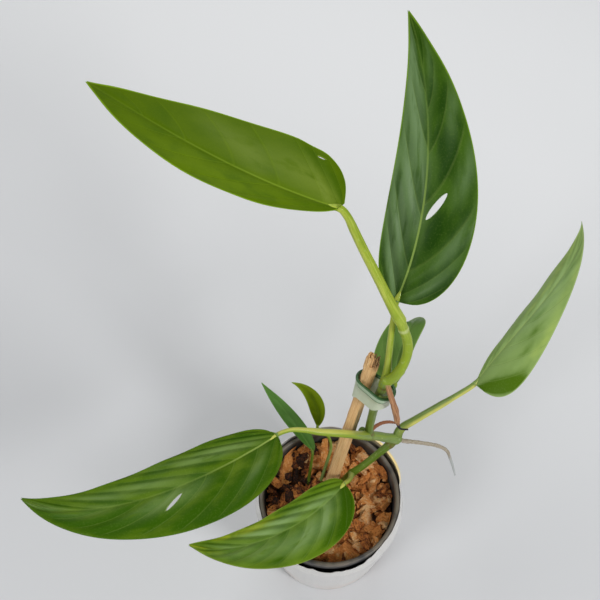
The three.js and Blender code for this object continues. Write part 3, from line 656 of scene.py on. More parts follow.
# Stem. The vine climbs in a zigzag from node to node. Its skin is smooth and waxy, dark green on
# the old lower joints and bright yellow-green on the young top, with rings and scars at the places
# where leaves and sheaths have dropped, and one pale ring painted on near the top as a highlight.
LOW_NODE = (13.4, 13.6, 80)
SIDE_NODE = (38.1, 26.2, 103)
MIDDLE_NODE = (21.2, 22.4, 117.5)
TOP_NODE = (26.5, 25.9, 183)
STEM_END = (30.4, 38.8, 223)


def smooth_route(route, steps_per_span):
    """Places, ways and radii on a smooth line through a route of (x, y, z, radius)."""
    points = np.array([stop[:3] for stop in route], float)
    points = np.vstack([2 * points[0] - points[1], points, 2 * points[-1] - points[-2]])
    centres, radii = [], []
    for span in range(1, len(points) - 2):
        gaps = np.sqrt(np.linalg.norm(np.diff(points[span - 1 : span + 3], axis=0), axis=1))
        before, here, there, after = points[span - 1 : span + 3]
        leave = (here - before) / gaps[0] - (there - before) / (gaps[0] + gaps[1])
        leave = (leave + (there - here) / gaps[1]) * gaps[1]
        arrive = (there - here) / gaps[1] - (after - here) / (gaps[1] + gaps[2])
        arrive = (arrive + (after - there) / gaps[2]) * gaps[1]
        for step in range(steps_per_span):
            t = step / steps_per_span
            bend = -3 * here + 3 * there - 2 * leave - arrive
            close = 2 * here - 2 * there + leave + arrive
            centres.append(here + leave * t + bend * t**2 + close * t**3)
            ease = t * t * (3 - 2 * t)
            radii.append(route[span - 1][3] + (route[span][3] - route[span - 1][3]) * ease)
    centres.append(points[-2])
    radii.append(route[-1][3])
    centres = np.array(centres)
    ways = np.gradient(centres, axis=0)
    ways /= np.linalg.norm(ways, axis=1)[:, None]
    return centres, ways, np.array(radii)


class Stalk:
    """Tubes on smooth routes, gathered into one mesh with marks for their finish."""

    def __init__(self):
        self.places = []
        self.faces = []
        self.marks = {"grain": [], "share": [], "tint": [], "stripe": [], "scar": []}

    def tube(
        self, route, sides=16, steps=6, tint=(0, 0), shape=None, stripe=((0, 0, 1), 0.0), scars_and_highlights=()
    ):
        """shape(share, angle) multiplies the radius. tint runs from its first to its last value.
        A highlight stripe is the way it faces and a strength: a pale line painted on that side, partly
        the stalk's own colour and partly a painted highlight. Scars are places and widths, as shares, and
        a negative width makes a pale ring, a painted highlight."""
        centres, ways, radii = smooth_route(route, steps)
        lengths = np.concatenate([[0], np.cumsum(np.linalg.norm(np.diff(centres, axis=0), axis=1))])
        start = len(self.places)
        across = np.cross((0.0, 0.0, 1.0), ways[0])
        if np.linalg.norm(across) < 0.1:
            across = np.cross((1.0, 0.0, 0.0), ways[0])
        self.add(centres[0] - ways[0] * radii[0] * 0.3, (0, 0, 0), 0, tint[0])
        for index, (centre, way, radius) in enumerate(zip(centres, ways, radii)):
            across = across - way * across.dot(way)
            across /= np.linalg.norm(across)
            other = np.cross(way, across)
            share = lengths[index] / lengths[-1]
            for side in range(sides):
                angle = 2 * math.pi * side / sides
                reach = radius * (shape(share, angle) if shape else 1)
                off = across * (reach * math.cos(angle)) + other * (reach * math.sin(angle))
                mark = (radius * math.cos(angle), radius * math.sin(angle), lengths[index])
                facing = off.dot(stripe[0]) / np.linalg.norm(off) / np.linalg.norm(stripe[0])
                pale = stripe[1] * min(1, max(0, (facing - 0.35) / 0.4)) * min(1, (share / 0.24) ** 2)
                scar = 0.0
                for place, width in scars_and_highlights:
                    scar += math.copysign(math.exp(-(((share - place) / width) ** 2)), width)
                self.add(centre + off, mark, share, tint[0] + (tint[1] - tint[0]) * share, pale, scar)
        self.add(centres[-1] + ways[-1] * radii[-1] * 0.4, (0, 0, lengths[-1]), 1, tint[1])
        fan = tube_faces(len(centres), sides)
        self.faces += [tuple(start + corner for corner in face) for face in fan]
        return self

    def add(self, place, grain, share, tint, stripe=0.0, scar=0.0):
        """Adds one place and its marks."""
        self.places.append(tuple(place))
        self.marks["grain"].append(tuple(grain))
        self.marks["share"].append(share)
        self.marks["tint"].append(tint)
        self.marks["stripe"].append(stripe)
        self.marks["scar"].append(scar)

    def piece(self, name, material):
        """Makes all tubes so far into one object."""
        return mesh_piece(name, self.places, self.faces, material, self.marks, 60)


def ringed(rings, swell):
    """A shape that swells in rings, each a place and a width as shares of the length."""

    def shape(share, angle):
        factor = 1
        for place, width in rings:
            factor += swell * math.exp(-(((share - place) / width) ** 2))
        return factor

    return shape


stem_skin, wires, sockets = new_finish("stem_skin", Roughness=0.4, Specular_IOR_Level=0.3, Coat_Weight=0.1)
lines = wires.noise(wires.stretched("grain", (1.6, 1.6, 0.05)), 1.0, 3)
blotches = wires.noise(wires.stretched("grain", (0.5, 0.5, 0.12)), 1.0, 3)
flecks = wires.noise(wires.place(), 500, 2)
stops = [
    (0.0, wide_colour(82, 110, 8)),
    (0.3, wide_colour(104, 126, 46)),
    (0.5, wide_colour(122, 144, 78)),
    (0.65, wide_colour(132, 154, 50)),
    (0.8, wide_colour(142, 164, 34)),
    (1.0, wide_colour(176, 192, 72)),
]
tone = wires.mark("tint") + 0.55 * (lines - 0.5) + 0.3 * (blotches - 0.5)
shade = wires.node("ValToRGB", {"stops": stops}, {0: tone})
shade = (flecks.ease(0.62, 0.75) * 0.35).mix(shade, wide_colour(184, 198, 120))
# The stripe paints a pale yellow line along the side of a stalk that faces a given way: partly the stalk's
# own pale line, partly a painted highlight.
highlight_streak = wires.mark("stripe") * (0.7 + 0.6 * (blotches - 0.5))
shade = highlight_streak.mix(shade, wide_colour(222, 216, 112))
shade = (wires.mark("scar") * flecks.ease(0.3, 0.55)).mix(shade, wide_colour(112, 84, 40))
# A negative scar mark paints a pale ring: a painted highlight on the swelling.
shade = (wires.mark("scar") * -0.75).mix(shade, wide_colour(226, 232, 180))
wires.join(shade, sockets["Base Color"])
wires.join(0.34 + 0.2 * lines, sockets["Roughness"])
wires.join(wires.bump(lines, 0.0003, 0.6), sockets["Normal"])
# Each run of the vine: its route of x, y, z and radius, tints, rings and their swell, scars and
# painted highlight rings, steps.
VINE_RUNS = [
    (
        [(6.8, 11.6, 44, 2), (8.6, 12.9, 66, 2.1), (*LOW_NODE, 2.2), (19.2, 15.4, 87, 2.1),
         (26.7, 19.3, 94, 2.1), (32.2, 22.3, 99, 2.3), (*SIDE_NODE, 2.6)],
        (0.06, 0.1), [(0.5, 0.02), (0.93, 0.02)], 0.16, [(0.93, 0.012), (0.97, 0.01)], 6,
    ),
    (
        [(*SIDE_NODE, 3.3), (36.5, 25.6, 104.4, 3.0), (31.6, 24.8, 108, 2.7),
         (26.2, 23.8, 113, 2.6), (*MIDDLE_NODE, 2.8)],
        (0.5, 0.55), [(0.03, 0.03), (0.3, 0.015), (0.93, 0.03)], 0.12,
        [(0.3, 0.012), (0.94, 0.012)], 6,
    ),
    (
        [(*MIDDLE_NODE, 2.8), (21, 23.6, 125, 2.3), (21.5, 24.4, 138, 2.3), (22.1, 23.4, 158, 2.3),
         (23.5, 24.3, 169, 2.4), (25.4, 25.4, 178, 2.6), (*TOP_NODE, 2.9)],
        (0.2, 0.6), [(0.04, 0.02), (0.97, 0.03)], 0.12, [(0.06, 0.01), (0.93, 0.012)], 6,
    ),
    (
        [(*TOP_NODE, 2.9), (29.7, 26.2, 187, 2.7), (33.2, 28.4, 194, 2.5), (35.4, 32.8, 202, 2.5),
         (34.7, 35.8, 209, 2.5), (32, 37.7, 218, 2.5), (*STEM_END, 2.6)],
        (0.7, 0.86), [(0.24, 0.02), (0.86, 0.02)], 0.1, [(0.87, -0.014)], 8,
    ),
]
# The swollen nodes, and one bud behind the middle one: place, radius and tint.
KNOTS = [
    (*LOW_NODE, 2.5, 0.04), (*SIDE_NODE, 3.3, 0.5), (*MIDDLE_NODE, 3.1, 0.42), (*TOP_NODE, 3.1, 0.68),
    (17.6, 24.5, 119, 2.3, 0.08),
]
vine = Stalk()
for route, tint, rings, swell, scars_and_highlights, steps in VINE_RUNS:
    vine.tube(route, steps=steps, tint=tint, shape=ringed(rings, swell), scars_and_highlights=scars_and_highlights)
for x, y, z, radius, tint in KNOTS:
    ball = ((-1, 0.4), (-0.6, 0.85), (0, 1), (0.6, 0.85), (1, 0.4))
    knot = [(x, y, z + up * radius, wide * radius) for up, wide in ball]
    vine.tube(knot, steps=3, tint=(tint, tint))
stem = vine.piece("vine_stem", stem_skin)
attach(stem, "root")
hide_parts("stem")


# Leaves. Each blade hangs on an arched midrib, has two uneven halves and sunken side veins that
# sweep forward, and is thin and leathery. Some have a slit between two veins. Its petiole clasps
# the stem with a sheath at its foot. New leaves are yellow-green, and old ones dark.

# Pairs are for the left and the right half, or for foot and tip. half is a half's width, peak where
# it is widest, tip how it narrows, and lobe how far it reaches behind the petiole. sweep, roll, fold
# and cup bend the blade. veins are the places where side veins leave the midrib, and lean is how far
# forward they run. relief and wave are heights, crease and flank strengths of the shade painted
# beside the side veins, mottle the strength of the mottling, and midrib_light how bright the midrib
# is and where it has faded.
# Patches are places u and v on the blade, their reaches along u and v, and a strength.
SHARED = dict(
    slot="leaf_green", sweep=0.44, roll=(0, 0), fold=(8, 6), cup=3, stripe=((0, 0, 1), 0.0), slits=[],
    lean=(0.12, 0.12), wave=0.3, crease=0.1, mottle=0.4, flank=0.3, gloss_patches=[], dark_patches=[],
    gold_patches=[],
)
BLADE_THICKNESS = 0.5
# A midrib shorter than this is a young leaf's, and has no rib below it.
YOUNG_LENGTH = 70
RIB_DEPTH = 1.5
SLIT_CORNERS = 28
LEAVES = {
    "leaf_1": dict(
        SHARED,
        slot="young_leaf_green",
        midrib=[(0, 59, 288), (-46, 66, 302), (-86, 104, 294), (-118, 135, 282)],
        half=(14.4, 28), peak=(0.4, 0.19), tip=(1.02, 1.1), lobe=(-0.6, 1.7), sweep=0.45, roll=(8, 0),
        fold=(6, 6), cup=2,
        petiole=[
            (*STEM_END, 2.5), (27.8, 39.9, 229, 2.5), (23.5, 42.9, 238, 2.4), (17.2, 47.5, 252, 2.3),
            (11.3, 52.3, 264, 2.2), (6.4, 56.2, 275, 2.1), (3.2, 58, 283, 1.8), (0, 59.3, 287, 1.7),
        ],
        tint=(0.9, 0.84), stripe=((-0.7, -0.5, 0.3), 0.3),
        slits=[((0.094, -0.85), (0.066, -0.87), 0.9)],
        veins=((0.0, 0.08, 0.2, 0.36, 0.54, 0.72, 0.88), (0.0, 0.05, 0.19, 0.34, 0.52, 0.7, 0.87)),
        lean=(0.16, 0.12), relief=0.14, mottle=0.35, flank=0.35, midrib_light=(0.55, 0.9),
        lamina=(82, 108, 2), deep=(64, 94, 0), sheen_and_underside=(116, 136, 46), gold=(94, 120, 0),
        vein=(124, 150, 36), margin=(134, 168, 26),
        gloss_patches=[
            (0.11, -0.37, 0.07, 0.35, 0.9), (0.28, -0.38, 0.08, 0.35, 0.6),
            (0.42, -0.6, 0.06, 0.3, 0.35), (0.04, -0.18, 0.035, 0.2, 0.6),
        ],
        dark_patches=[
            (0.12, -0.85, 0.05, 0.2, 0.6), (0.01, -0.37, 0.03, 0.3, 0.7), (0.2, -0.2, 0.05, 0.1, 0.3),
        ],
        gold_patches=[(0.26, 0.6, 0.2, 0.5, 0.7), (0.55, 0.5, 0.25, 0.4, 0.5)],
    ),
    "leaf_2": dict(
        SHARED,
        midrib=[(28.3, 46.7, 228), (45, 74, 263), (45, 118, 292), (33, 163, 300)],
        half=(17, 25), peak=(0.27, 0.28), tip=(1.04, 1.17), lobe=(-1, -0.7), cup=2,
        petiole=[
            (25.4, 25.4, 178, 2.6), (26.6, 29.8, 184, 2.1), (27, 34.7, 195, 1.7),
            (27.1, 38.5, 209, 1.6), (27.9, 44, 219, 1.5), (28.3, 46.5, 227.5, 1.5),
        ],
        tint=(0.76, 0.8), stripe=((-0.7, -0.5, 0.3), 0.4),
        slits=[((0.285, -0.09), (0.345, -0.44), 3.0)],
        veins=((0.0, 0.12, 0.3, 0.52, 0.7, 0.86), (0.02, 0.11, 0.34, 0.5, 0.64, 0.78, 0.9)),
        lean=(0.22, 0.16), relief=0.8, wave=0.4, crease=0.03, mottle=0.45, flank=0.75,
        midrib_light=(0.9, 0.75),
        lamina=(60, 92, 18), deep=(28, 60, 2), sheen_and_underside=(104, 130, 86), gold=(92, 118, 30),
        vein=(132, 156, 76), margin=(112, 146, 30),
        gloss_patches=[
            (0.44, 0.5, 0.14, 0.5, 1.1), (0.26, 0.65, 0.12, 0.45, 1.0), (0.09, 0.5, 0.07, 0.45, 1.0),
            (0.64, 0.6, 0.12, 0.45, 1.1), (0.8, 0.6, 0.1, 0.5, 0.8), (0.18, -0.72, 0.05, 0.3, 0.7),
            (0.36, -0.8, 0.05, 0.22, 0.7), (0.06, -0.6, 0.04, 0.3, 0.6), (0.55, -0.75, 0.06, 0.25, 0.5),
            (0.75, -0.5, 0.06, 0.3, 0.4),
        ],
        dark_patches=[
            (0.24, -0.28, 0.05, 0.16, 0.9), (0.51, -0.35, 0.06, 0.2, 0.6), (0.44, -0.5, 0.05, 0.2, 0.5),
            (0.08, -0.9, 0.05, 0.2, 0.5), (0.3, 0.2, 0.06, 0.12, 0.5), (0.15, 0.15, 0.05, 0.1, 0.5),
        ],
    ),
    "leaf_3": dict(
        SHARED,
        midrib=[(32.9, 34.4, 159), (29.4, 48, 200), (52, 60.5, 203), (35, 70, 146)],
        half=(13.2, 7), peak=(0.19, 0.4), tip=(1.1, 1.1), lobe=(-0.3, -0.2), roll=(-14, -28), cup=2,
        petiole=[
            (21.8, 24.6, 145, 1.4), (24.5, 29.5, 152, 1.4), (28.4, 31, 156, 1.3),
            (32.7, 34, 158.6, 1.3),
        ],
        tint=(0.5, 0.7),
        veins=2 * ((0.0, 0.12, 0.26, 0.42, 0.58, 0.74, 0.9),),
        relief=0.2, wave=0.15, flank=0.35, midrib_light=(0.3, 0.6),
        lamina=(100, 132, 62), deep=(76, 112, 48), sheen_and_underside=(118, 148, 92), gold=(130, 156, 66),
        vein=(130, 160, 92), margin=(140, 166, 90),
        gloss_patches=[(0.6, 0.4, 0.2, 0.4, 0.4)],
        dark_patches=[(0.85, 0.3, 0.12, 0.5, 0.5)],
    ),
    "leaf_4": dict(
        SHARED,
        midrib=[(-29, 10, 150), (-63, -20, 166), (-118, -48, 166), (-160, -23, 148)],
        half=(24.5, 16.5), peak=(0.31, 0.33), tip=(1.18, 1.0), lobe=(-1, -1),
        petiole=[
            (*MIDDLE_NODE, 2.4), (15.6, 18, 129, 2.3), (9.7, 15.1, 138, 2.2), (1.4, 13.8, 143, 2.1),
            (-6.5, 13.6, 145, 1.9), (-15.5, 13.1, 149, 1.4), (-22.3, 12.3, 151, 1.2),
            (-29, 10.3, 149.6, 1.2),
        ],
        tint=(0.6, 0.8), stripe=((0, 0.35, 0.9), 0.85), slits=[((0.425, 0.48), (0.39, 0.19), 1.8)],
        veins=(
            (0.0, 0.09, 0.19, 0.3, 0.42, 0.53, 0.66, 0.8, 0.92),
            (0.0, 0.08, 0.18, 0.29, 0.41, 0.55, 0.7, 0.86),
        ),
        lean=(0.17, 0.26), relief=0.75, mottle=0.5, flank=0.65, midrib_light=(0.8, 0.4),
        lamina=(84, 112, 16), deep=(50, 86, 2), sheen_and_underside=(120, 146, 84), gold=(112, 138, 40),
        vein=(148, 170, 84), margin=(80, 112, 30),
        gloss_patches=[
            (0.12, 0.42, 0.04, 0.25, 0.5), (0.36, 0.25, 0.05, 0.2, 0.6), (0.46, 0.25, 0.06, 0.25, 0.8),
            (0.17, -0.45, 0.07, 0.3, 0.85), (0.46, -0.42, 0.08, 0.3, 0.6), (0.3, -0.6, 0.06, 0.25, 0.5),
            (0.9, 0.3, 0.06, 0.6, 0.8), (0.7, 0.2, 0.08, 0.4, 0.4), (0.62, -0.5, 0.08, 0.3, 0.4),
        ],
        dark_patches=[
            (0.24, 0.75, 0.12, 0.3, 0.8), (0.56, 0.65, 0.14, 0.3, 0.8), (0.04, -0.5, 0.05, 0.4, 0.7),
            (0.3, 0.12, 0.06, 0.1, 0.5), (0.75, 0.6, 0.1, 0.3, 0.5),
        ],
        gold_patches=[(0.2, 0.25, 0.05, 0.2, 0.5)],
    ),
    "leaf_5": dict(
        SHARED,
        midrib=[(78, 43, 142), (101, 67, 170), (141, 101, 172), (145, 138, 160)],
        half=(10.5, 19.5), peak=(0.45, 0.14), tip=(1.49, 1.45), lobe=(-0.1, -0.6), roll=(-28, -14),
        fold=(6, 10), cup=9,
        petiole=[
            (*SIDE_NODE, 2.4), (39.4, 29, 107.5, 2.3), (41.8, 30.6, 110.5, 2.2), (45.8, 31.5, 115, 2.2),
            (52.7, 33.3, 122, 2.1), (60.4, 35.6, 129, 2), (68.5, 38.2, 136, 1.6),
            (77.8, 42.5, 141.6, 1.5),
        ],
        tint=(0.3, 0.55), stripe=((0.4, -0.9, 0.1), 1.0),
        veins=((0.0, 0.1, 0.22, 0.35, 0.5, 0.65, 0.82), (0.0, 0.1, 0.2, 0.33, 0.46, 0.6, 0.75, 0.9)),
        lean=(0.2, 0.15), relief=0.22, wave=0.2, crease=0.12, mottle=0.26, flank=0.25,
        midrib_light=(0.5, 0.9),
        lamina=(134, 160, 92), deep=(74, 106, 14), sheen_and_underside=(138, 168, 118), gold=(160, 182, 92),
        vein=(156, 178, 104), margin=(160, 182, 116),
        gloss_patches=[(0.5, -0.1, 0.3, 0.5, 0.5)],
        dark_patches=[
            (0.06, -0.78, 0.045, 0.3, 1.3), (0.03, -0.45, 0.035, 0.25, 1.2),
            (0.3, -0.53, 0.05, 0.1, 0.45), (0.4, -0.32, 0.05, 0.12, 0.45),
            (0.21, -0.62, 0.05, 0.1, 0.4), (0.62, -0.4, 0.08, 0.15, 0.35),
        ],
        gold_patches=[
            (0.43, 0.3, 0.1, 0.12, 0.8), (0.66, 0.67, 0.12, 0.3, 0.7), (0.25, -0.9, 0.1, 0.15, 0.7),
            (0.5, -0.85, 0.15, 0.2, 0.5),
        ],
    ),
    "leaf_6": dict(
        SHARED,
        midrib=[(8, 3, 92), (-11, -24, 103), (-48, -44, 103), (-80, -31, 88)],
        half=(21.5, 13), peak=(0.31, 0.31), tip=(1.36, 0.76), lobe=(-0.3, 1.3), sweep=0.45,
        petiole=[(*LOW_NODE, 1.9), (11.1, 6.6, 88, 1.4), (8.2, 3.2, 91.6, 1.3)],
        tint=(0.25, 0.95), stripe=((0, 0, 1), 0.6),
        veins=((0.0, 0.1, 0.2, 0.31, 0.42, 0.54, 0.67, 0.82), (0.0, 0.1, 0.22, 0.35, 0.5, 0.66, 0.84)),
        lean=(0.15, 0.24), relief=0.75, crease=0.16, mottle=0.45, flank=0.75, midrib_light=(0.2, 0.9),
        lamina=(98, 128, 24), deep=(56, 92, 0), sheen_and_underside=(136, 164, 104), gold=(152, 164, 24),
        vein=(138, 164, 84), margin=(128, 150, 56),
        gloss_patches=[
            (0.18, -0.2, 0.09, 0.35, 0.9), (0.4, -0.45, 0.09, 0.3, 0.95), (0.21, 0.38, 0.07, 0.25, 0.7),
            (0.34, 0.43, 0.08, 0.3, 0.9), (0.54, -0.35, 0.08, 0.3, 0.95), (0.5, 0.45, 0.08, 0.3, 0.6),
            (0.66, 0.4, 0.1, 0.4, 0.5), (0.74, -0.1, 0.08, 0.3, 0.5),
        ],
        dark_patches=[
            (0.09, 0.75, 0.07, 0.35, 1.0), (0.05, 0.3, 0.05, 0.25, 0.6), (0.3, -0.75, 0.1, 0.18, 0.4),
        ],
        gold_patches=[
            (0.95, -0.2, 0.08, 0.6, 0.9), (0.83, 0.65, 0.08, 0.3, 0.6), (0.6, -0.85, 0.2, 0.25, 0.9),
        ],
    ),
    "small_leaf_1": dict(
        SHARED,
        midrib=[(-9.7, 22.8, 91), (-17, 31, 103), (-27, 41, 117), (-39, 50, 128)],
        half=(4.5, 5), peak=(0.5, 0.3), tip=(1, 1.15), lobe=(0, 0), sweep=0.45, roll=(-30, -30),
        fold=(14, 10), cup=1,
        petiole=[
            (-12.2, 12, 52, 1), (-12, 13.1, 66, 1), (-10.4, 19.4, 82, 0.9), (-9.8, 22.6, 90.8, 0.9),
        ],
        tint=(0.05, 0.25),
        veins=2 * ((0.0, 0.25, 0.5, 0.75),),
        relief=0.12, wave=0.1, midrib_light=(0.3, 0.8),
        lamina=(84, 124, 56), deep=(62, 102, 34), sheen_and_underside=(92, 134, 66), gold=(100, 136, 50),
        vein=(100, 138, 66), margin=(96, 134, 62),
        gloss_patches=[(0.5, -0.3, 0.3, 0.4, 0.5)],
        dark_patches=[(0.2, 0.3, 0.15, 0.4, 0.6)],
    ),
    "small_leaf_2": dict(
        SHARED,
        midrib=[(-7, 35, 98), (-4, 41, 108), (-9, 50, 119), (-22, 52, 124)],
        half=(5, 4.5), peak=(0.43, 0.43), tip=(1.1, 1.3), lobe=(0.2, 0.1), sweep=0.45, fold=(14, 10),
        cup=1,
        petiole=[
            (-4.9, 12.5, 52, 1), (-4.5, 13.5, 66, 1), (-1.4, 20.9, 75, 1), (1.2, 28.2, 84, 0.9),
            (-0.4, 31.7, 91, 0.9), (-4.9, 33.8, 96, 0.9), (-7, 34.9, 97.8, 0.9),
        ],
        tint=(0.3, 0.8),
        veins=2 * ((0.0, 0.25, 0.5, 0.75),),
        relief=0.12, wave=0.1, midrib_light=(0.0, 0.8),
        lamina=(118, 142, 14), deep=(94, 118, 6), sheen_and_underside=(128, 148, 60), gold=(134, 154, 30),
        vein=(120, 142, 50), margin=(138, 160, 56),
        dark_patches=[(0.3, 0.0, 0.4, 0.25, 0.8)],
        gold_patches=[(0.6, -0.7, 0.3, 0.4, 0.6)],
    ),
}


def bezier(points, t):
    """Places and ways along a curve with four points."""
    a, b, c, d = [np.array(point, float) for point in points]
    t = np.asarray(t)[..., None]
    place = (1 - t) ** 3 * a + 3 * (1 - t) ** 2 * t * b + 3 * (1 - t) * t**2 * c + t**3 * d
    way = 3 * (1 - t) ** 2 * (b - a) + 6 * (1 - t) * t * (c - b) + 3 * t**2 * (d - c)
    return place, way


def measure_midrib(leaf):
    """Notes how far along the midrib each share of its curve lies."""
    shares = np.linspace(0, 1, 201)
    steps = np.linalg.norm(np.diff(bezier(leaf["midrib"], shares)[0], axis=0), axis=1)
    leaf["shares"] = shares
    leaf["lengths"] = np.concatenate([[0], np.cumsum(steps)])
    leaf["length"] = leaf["lengths"][-1]


def midrib_frame(leaf, distance):
    """Place, left and upward directions at distances along a midrib."""
    reach = np.clip(distance, 0, leaf["length"])
    share = reach / leaf["length"]
    place, way = bezier(leaf["midrib"], np.interp(reach, leaf["lengths"], leaf["shares"]))
    way /= np.linalg.norm(way, axis=-1)[..., None]
    place = place + way * (distance - reach)[..., None]
    roll = np.radians(leaf["roll"][0] + (leaf["roll"][1] - leaf["roll"][0]) * share)[..., None]
    level = np.cross((0.0, 0.0, 1.0), way)
    level /= np.linalg.norm(level, axis=-1)[..., None]
    upright = np.cross(way, level)
    left = level * np.cos(roll) + upright * np.sin(roll)
    return place, left, np.cross(way, left)


def pick(leaf, name, v):
    """The left half's value where v is positive, and the right half's where it isn't."""
    return np.where(v < 0, leaf[name][1], leaf[name][0])


def blade_place(leaf, u, v):
    """A place on the blade: u runs from foot to tip, v from -1 at the right edge to 1 at the left.
    Also how far along and off the midrib it lies, and how far off the edge does."""
    out = np.abs(v)
    along = u + leaf["sweep"] * u * (1 - u)
    lobe = pick(leaf, "lobe", v)
    edge = -lobe + (leaf["length"] + lobe) * along
    distance = leaf["length"] * u + (edge - leaf["length"] * u) * out**1.3
    peak = pick(leaf, "peak", v)
    tip = pick(leaf, "tip", v)
    foot = tip * peak / (1 - peak)
    full = along**foot * (1 - along) ** tip / (peak**foot * (1 - peak) ** tip)
    half = pick(leaf, "half", v)
    width = out * half * full
    place, left, upward = midrib_frame(leaf, distance)
    share = np.clip(distance / leaf["length"], 0, 1)
    fold = np.radians(leaf["fold"][0] + (leaf["fold"][1] - leaf["fold"][0]) * share)
    droop = leaf["cup"] * (width / half) ** 2
    place = place + left * (np.sign(v) * width * np.cos(fold))[..., None]
    place = place + upward * (width * np.sin(fold) - droop)[..., None]
    return place, distance, width, half * full


def vein_turn(leaf, u, v):
    """Whole numbers on the side veins, which leave the midrib at the listed places and lean forward."""
    start = u - pick(leaf, "lean", v) * np.abs(v) ** 1.2
    turns = []
    for starts in leaf["veins"]:
        known = [2 * starts[0] - starts[1], *starts, 1.0]
        inside = np.interp(start, known, np.arange(len(known)))
        turns.append(inside + np.minimum(start - known[0], 0) / (starts[1] - starts[0]))
    return np.where(v < 0, turns[1], turns[0])


def blade_skins(leaf, place, u, v, off):
    """The upper skin, with sunken veins and wavy edges, and the lower one, with a raised rib."""
    normal = np.cross(np.gradient(place, axis=0), np.gradient(place, axis=1))
    normal /= np.linalg.norm(normal, axis=-1)[..., None]
    turn = vein_turn(leaf, u, v)
    out = np.abs(v)
    swell = 0.5 - 0.5 * np.cos(2 * np.pi * turn)
    held = np.clip(out / 0.2, 0, 1) * np.clip((1 - out) / 0.25, 0, 1) ** 0.7
    body = np.clip(u / 0.06, 0, 1) * np.clip((1 - u) / 0.15, 0, 1)
    height = leaf["relief"] * (swell - 0.5) * held * body
    groove = np.exp(-((off / 1.1) ** 2)) * np.clip((1 - u) / 0.3, 0, 1)
    height = height - 0.3 * groove * np.clip(u / 0.02, 0, 1)
    waves = np.sin(2 * np.pi * (turn * 0.5 + 0.3)) * np.clip((out - 0.55) / 0.45, 0, 1) ** 2
    height = height + leaf["wave"] * waves * body
    upper = place + normal * (height - 0.1)[..., None]
    thin = BLADE_THICKNESS * np.clip((1 - out) / 0.08, 0.35, 1)
    if leaf["length"] > YOUNG_LENGTH:
        rib_reach = 1.35 * (1 - 0.65 * u)
        rib = (RIB_DEPTH - 1.2 * u) * np.exp(-((off / rib_reach) ** 2))
        thin = thin + rib * np.clip((1 - u) / 0.1, 0, 1)
    return upper, upper - normal * thin[..., None]


def blade_faces(rows, columns):
    """Faces of an upper and a lower skin, closed all round."""
    count = (rows + 1) * columns
    faces = []
    for row in range(rows):
        for column in range(columns - 1):
            a = row * columns + column
            b = a + columns
            faces.append((a, b, b + 1, a + 1))
            faces.append((count + a, count + a + 1, count + b + 1, count + b))
        first = row * columns
        faces.append((first, count + first, count + first + columns, first + columns))
        last = first + columns - 1
        faces.append((last + columns, count + last + columns, count + last, last))
    for column in range(columns - 1):
        faces.append((column, column + 1, count + column + 1, count + column))
        last = rows * columns + column
        faces.append((last + 1, last, count + last, count + last + 1))
    return faces


def patch_marks(leaf, u, v):
    """How strongly the painted sheen, dark and gold patches show at places on the blade."""
    marks = []
    for kind in ("gloss_patches", "dark_patches", "gold_patches"):
        soft = np.zeros_like(u)
        for at_u, at_v, reach_u, reach_v, strength in leaf[kind]:
            lean = at_u + pick(leaf, "lean", v) * (np.abs(v) ** 1.2 - abs(at_v) ** 1.2)
            soft += strength * np.exp(-(((u - lean) / reach_u) ** 2) - ((v - at_v) / reach_v) ** 2)
        marks.append(np.clip(soft, 0, 1.2))
    return marks


def cut_slit(blade, leaf, start, end, width):
    """Cuts a lens-shaped slit through a blade, between two places u and v on it."""
    ends = [blade_place(leaf, np.array(u), np.array(v))[0] for u, v in (start, end)]
    way = ends[1] - ends[0]
    length = np.linalg.norm(way)
    way /= length
    middle_u = np.array(0.5 * (start[0] + end[0]))
    upward = midrib_frame(leaf, middle_u * leaf["length"])[2]
    side = np.cross(upward, way)
    side /= np.linalg.norm(side)
    through = np.cross(way, side)
    centre = 0.5 * (ends[0] + ends[1])
    oval = []
    for level in (-6, 6):
        oval.append(centre + through * level)
        for corner in range(SLIT_CORNERS):
            angle = 2 * math.pi * corner / SLIT_CORNERS
            slim = abs(math.sin(angle)) ** 1.25 * math.copysign(1, math.sin(angle))
            step = way * (0.5 * length * math.cos(angle)) + side * (0.5 * width * slim)
            oval.append(centre + step + through * level)
    pairs = [(1 + c, 1 + (c + 1) % SLIT_CORNERS) for c in range(SLIT_CORNERS)]
    top = SLIT_CORNERS + 1
    walls = [(0, after, before) for before, after in pairs]
    walls += [(top, top + before, top + after) for before, after in pairs]
    walls += [(before, after, top + after, top + before) for before, after in pairs]
    cut_away(blade, mesh_piece("slit", oval, walls, None))


def blade_piece(name, leaf, material):
    """A closed thin blade with marks for its finish, and its slits."""
    young = leaf["length"] < YOUNG_LENGTH
    rows = 56 if young else 150
    half_columns = 10 if young else 24
    share = np.linspace(0, 1, rows + 1)
    foot = share**2.2
    u_line = 1e-5 + 0.985 * foot / (foot + (1 - share) ** 1.15)
    step = np.linspace(-1, 1, 2 * half_columns + 1)
    v_line = np.sign(step) * np.abs(step) ** 1.25
    u, v = np.meshgrid(u_line, v_line, indexing="ij")
    place, distance, off, reach = blade_place(leaf, u, v)
    skins = blade_skins(leaf, place, u, v, off)
    places = np.concatenate([skin.reshape(-1, 3) for skin in skins])

    def both_skins(*parts):
        """The same three values for the upper and the lower skin."""
        values = np.stack(parts, -1).reshape(-1, 3)
        return np.concatenate([values, values])

    marks = {
        "spread": both_skins(u, v, vein_turn(leaf, u, v)),
        "reach": both_skins(distance, np.sign(v) * off, reach - off),
        "patches": both_skins(*patch_marks(leaf, u, v)),
        "upper": np.concatenate([np.ones(u.size), np.zeros(u.size)]),
    }
    faces = blade_faces(rows, len(v_line))
    blade = mesh_piece(name, places, faces, material, marks, 80)
    for start, end, width in leaf["slits"]:
        cut_slit(blade, leaf, start, end, width)
    return blade


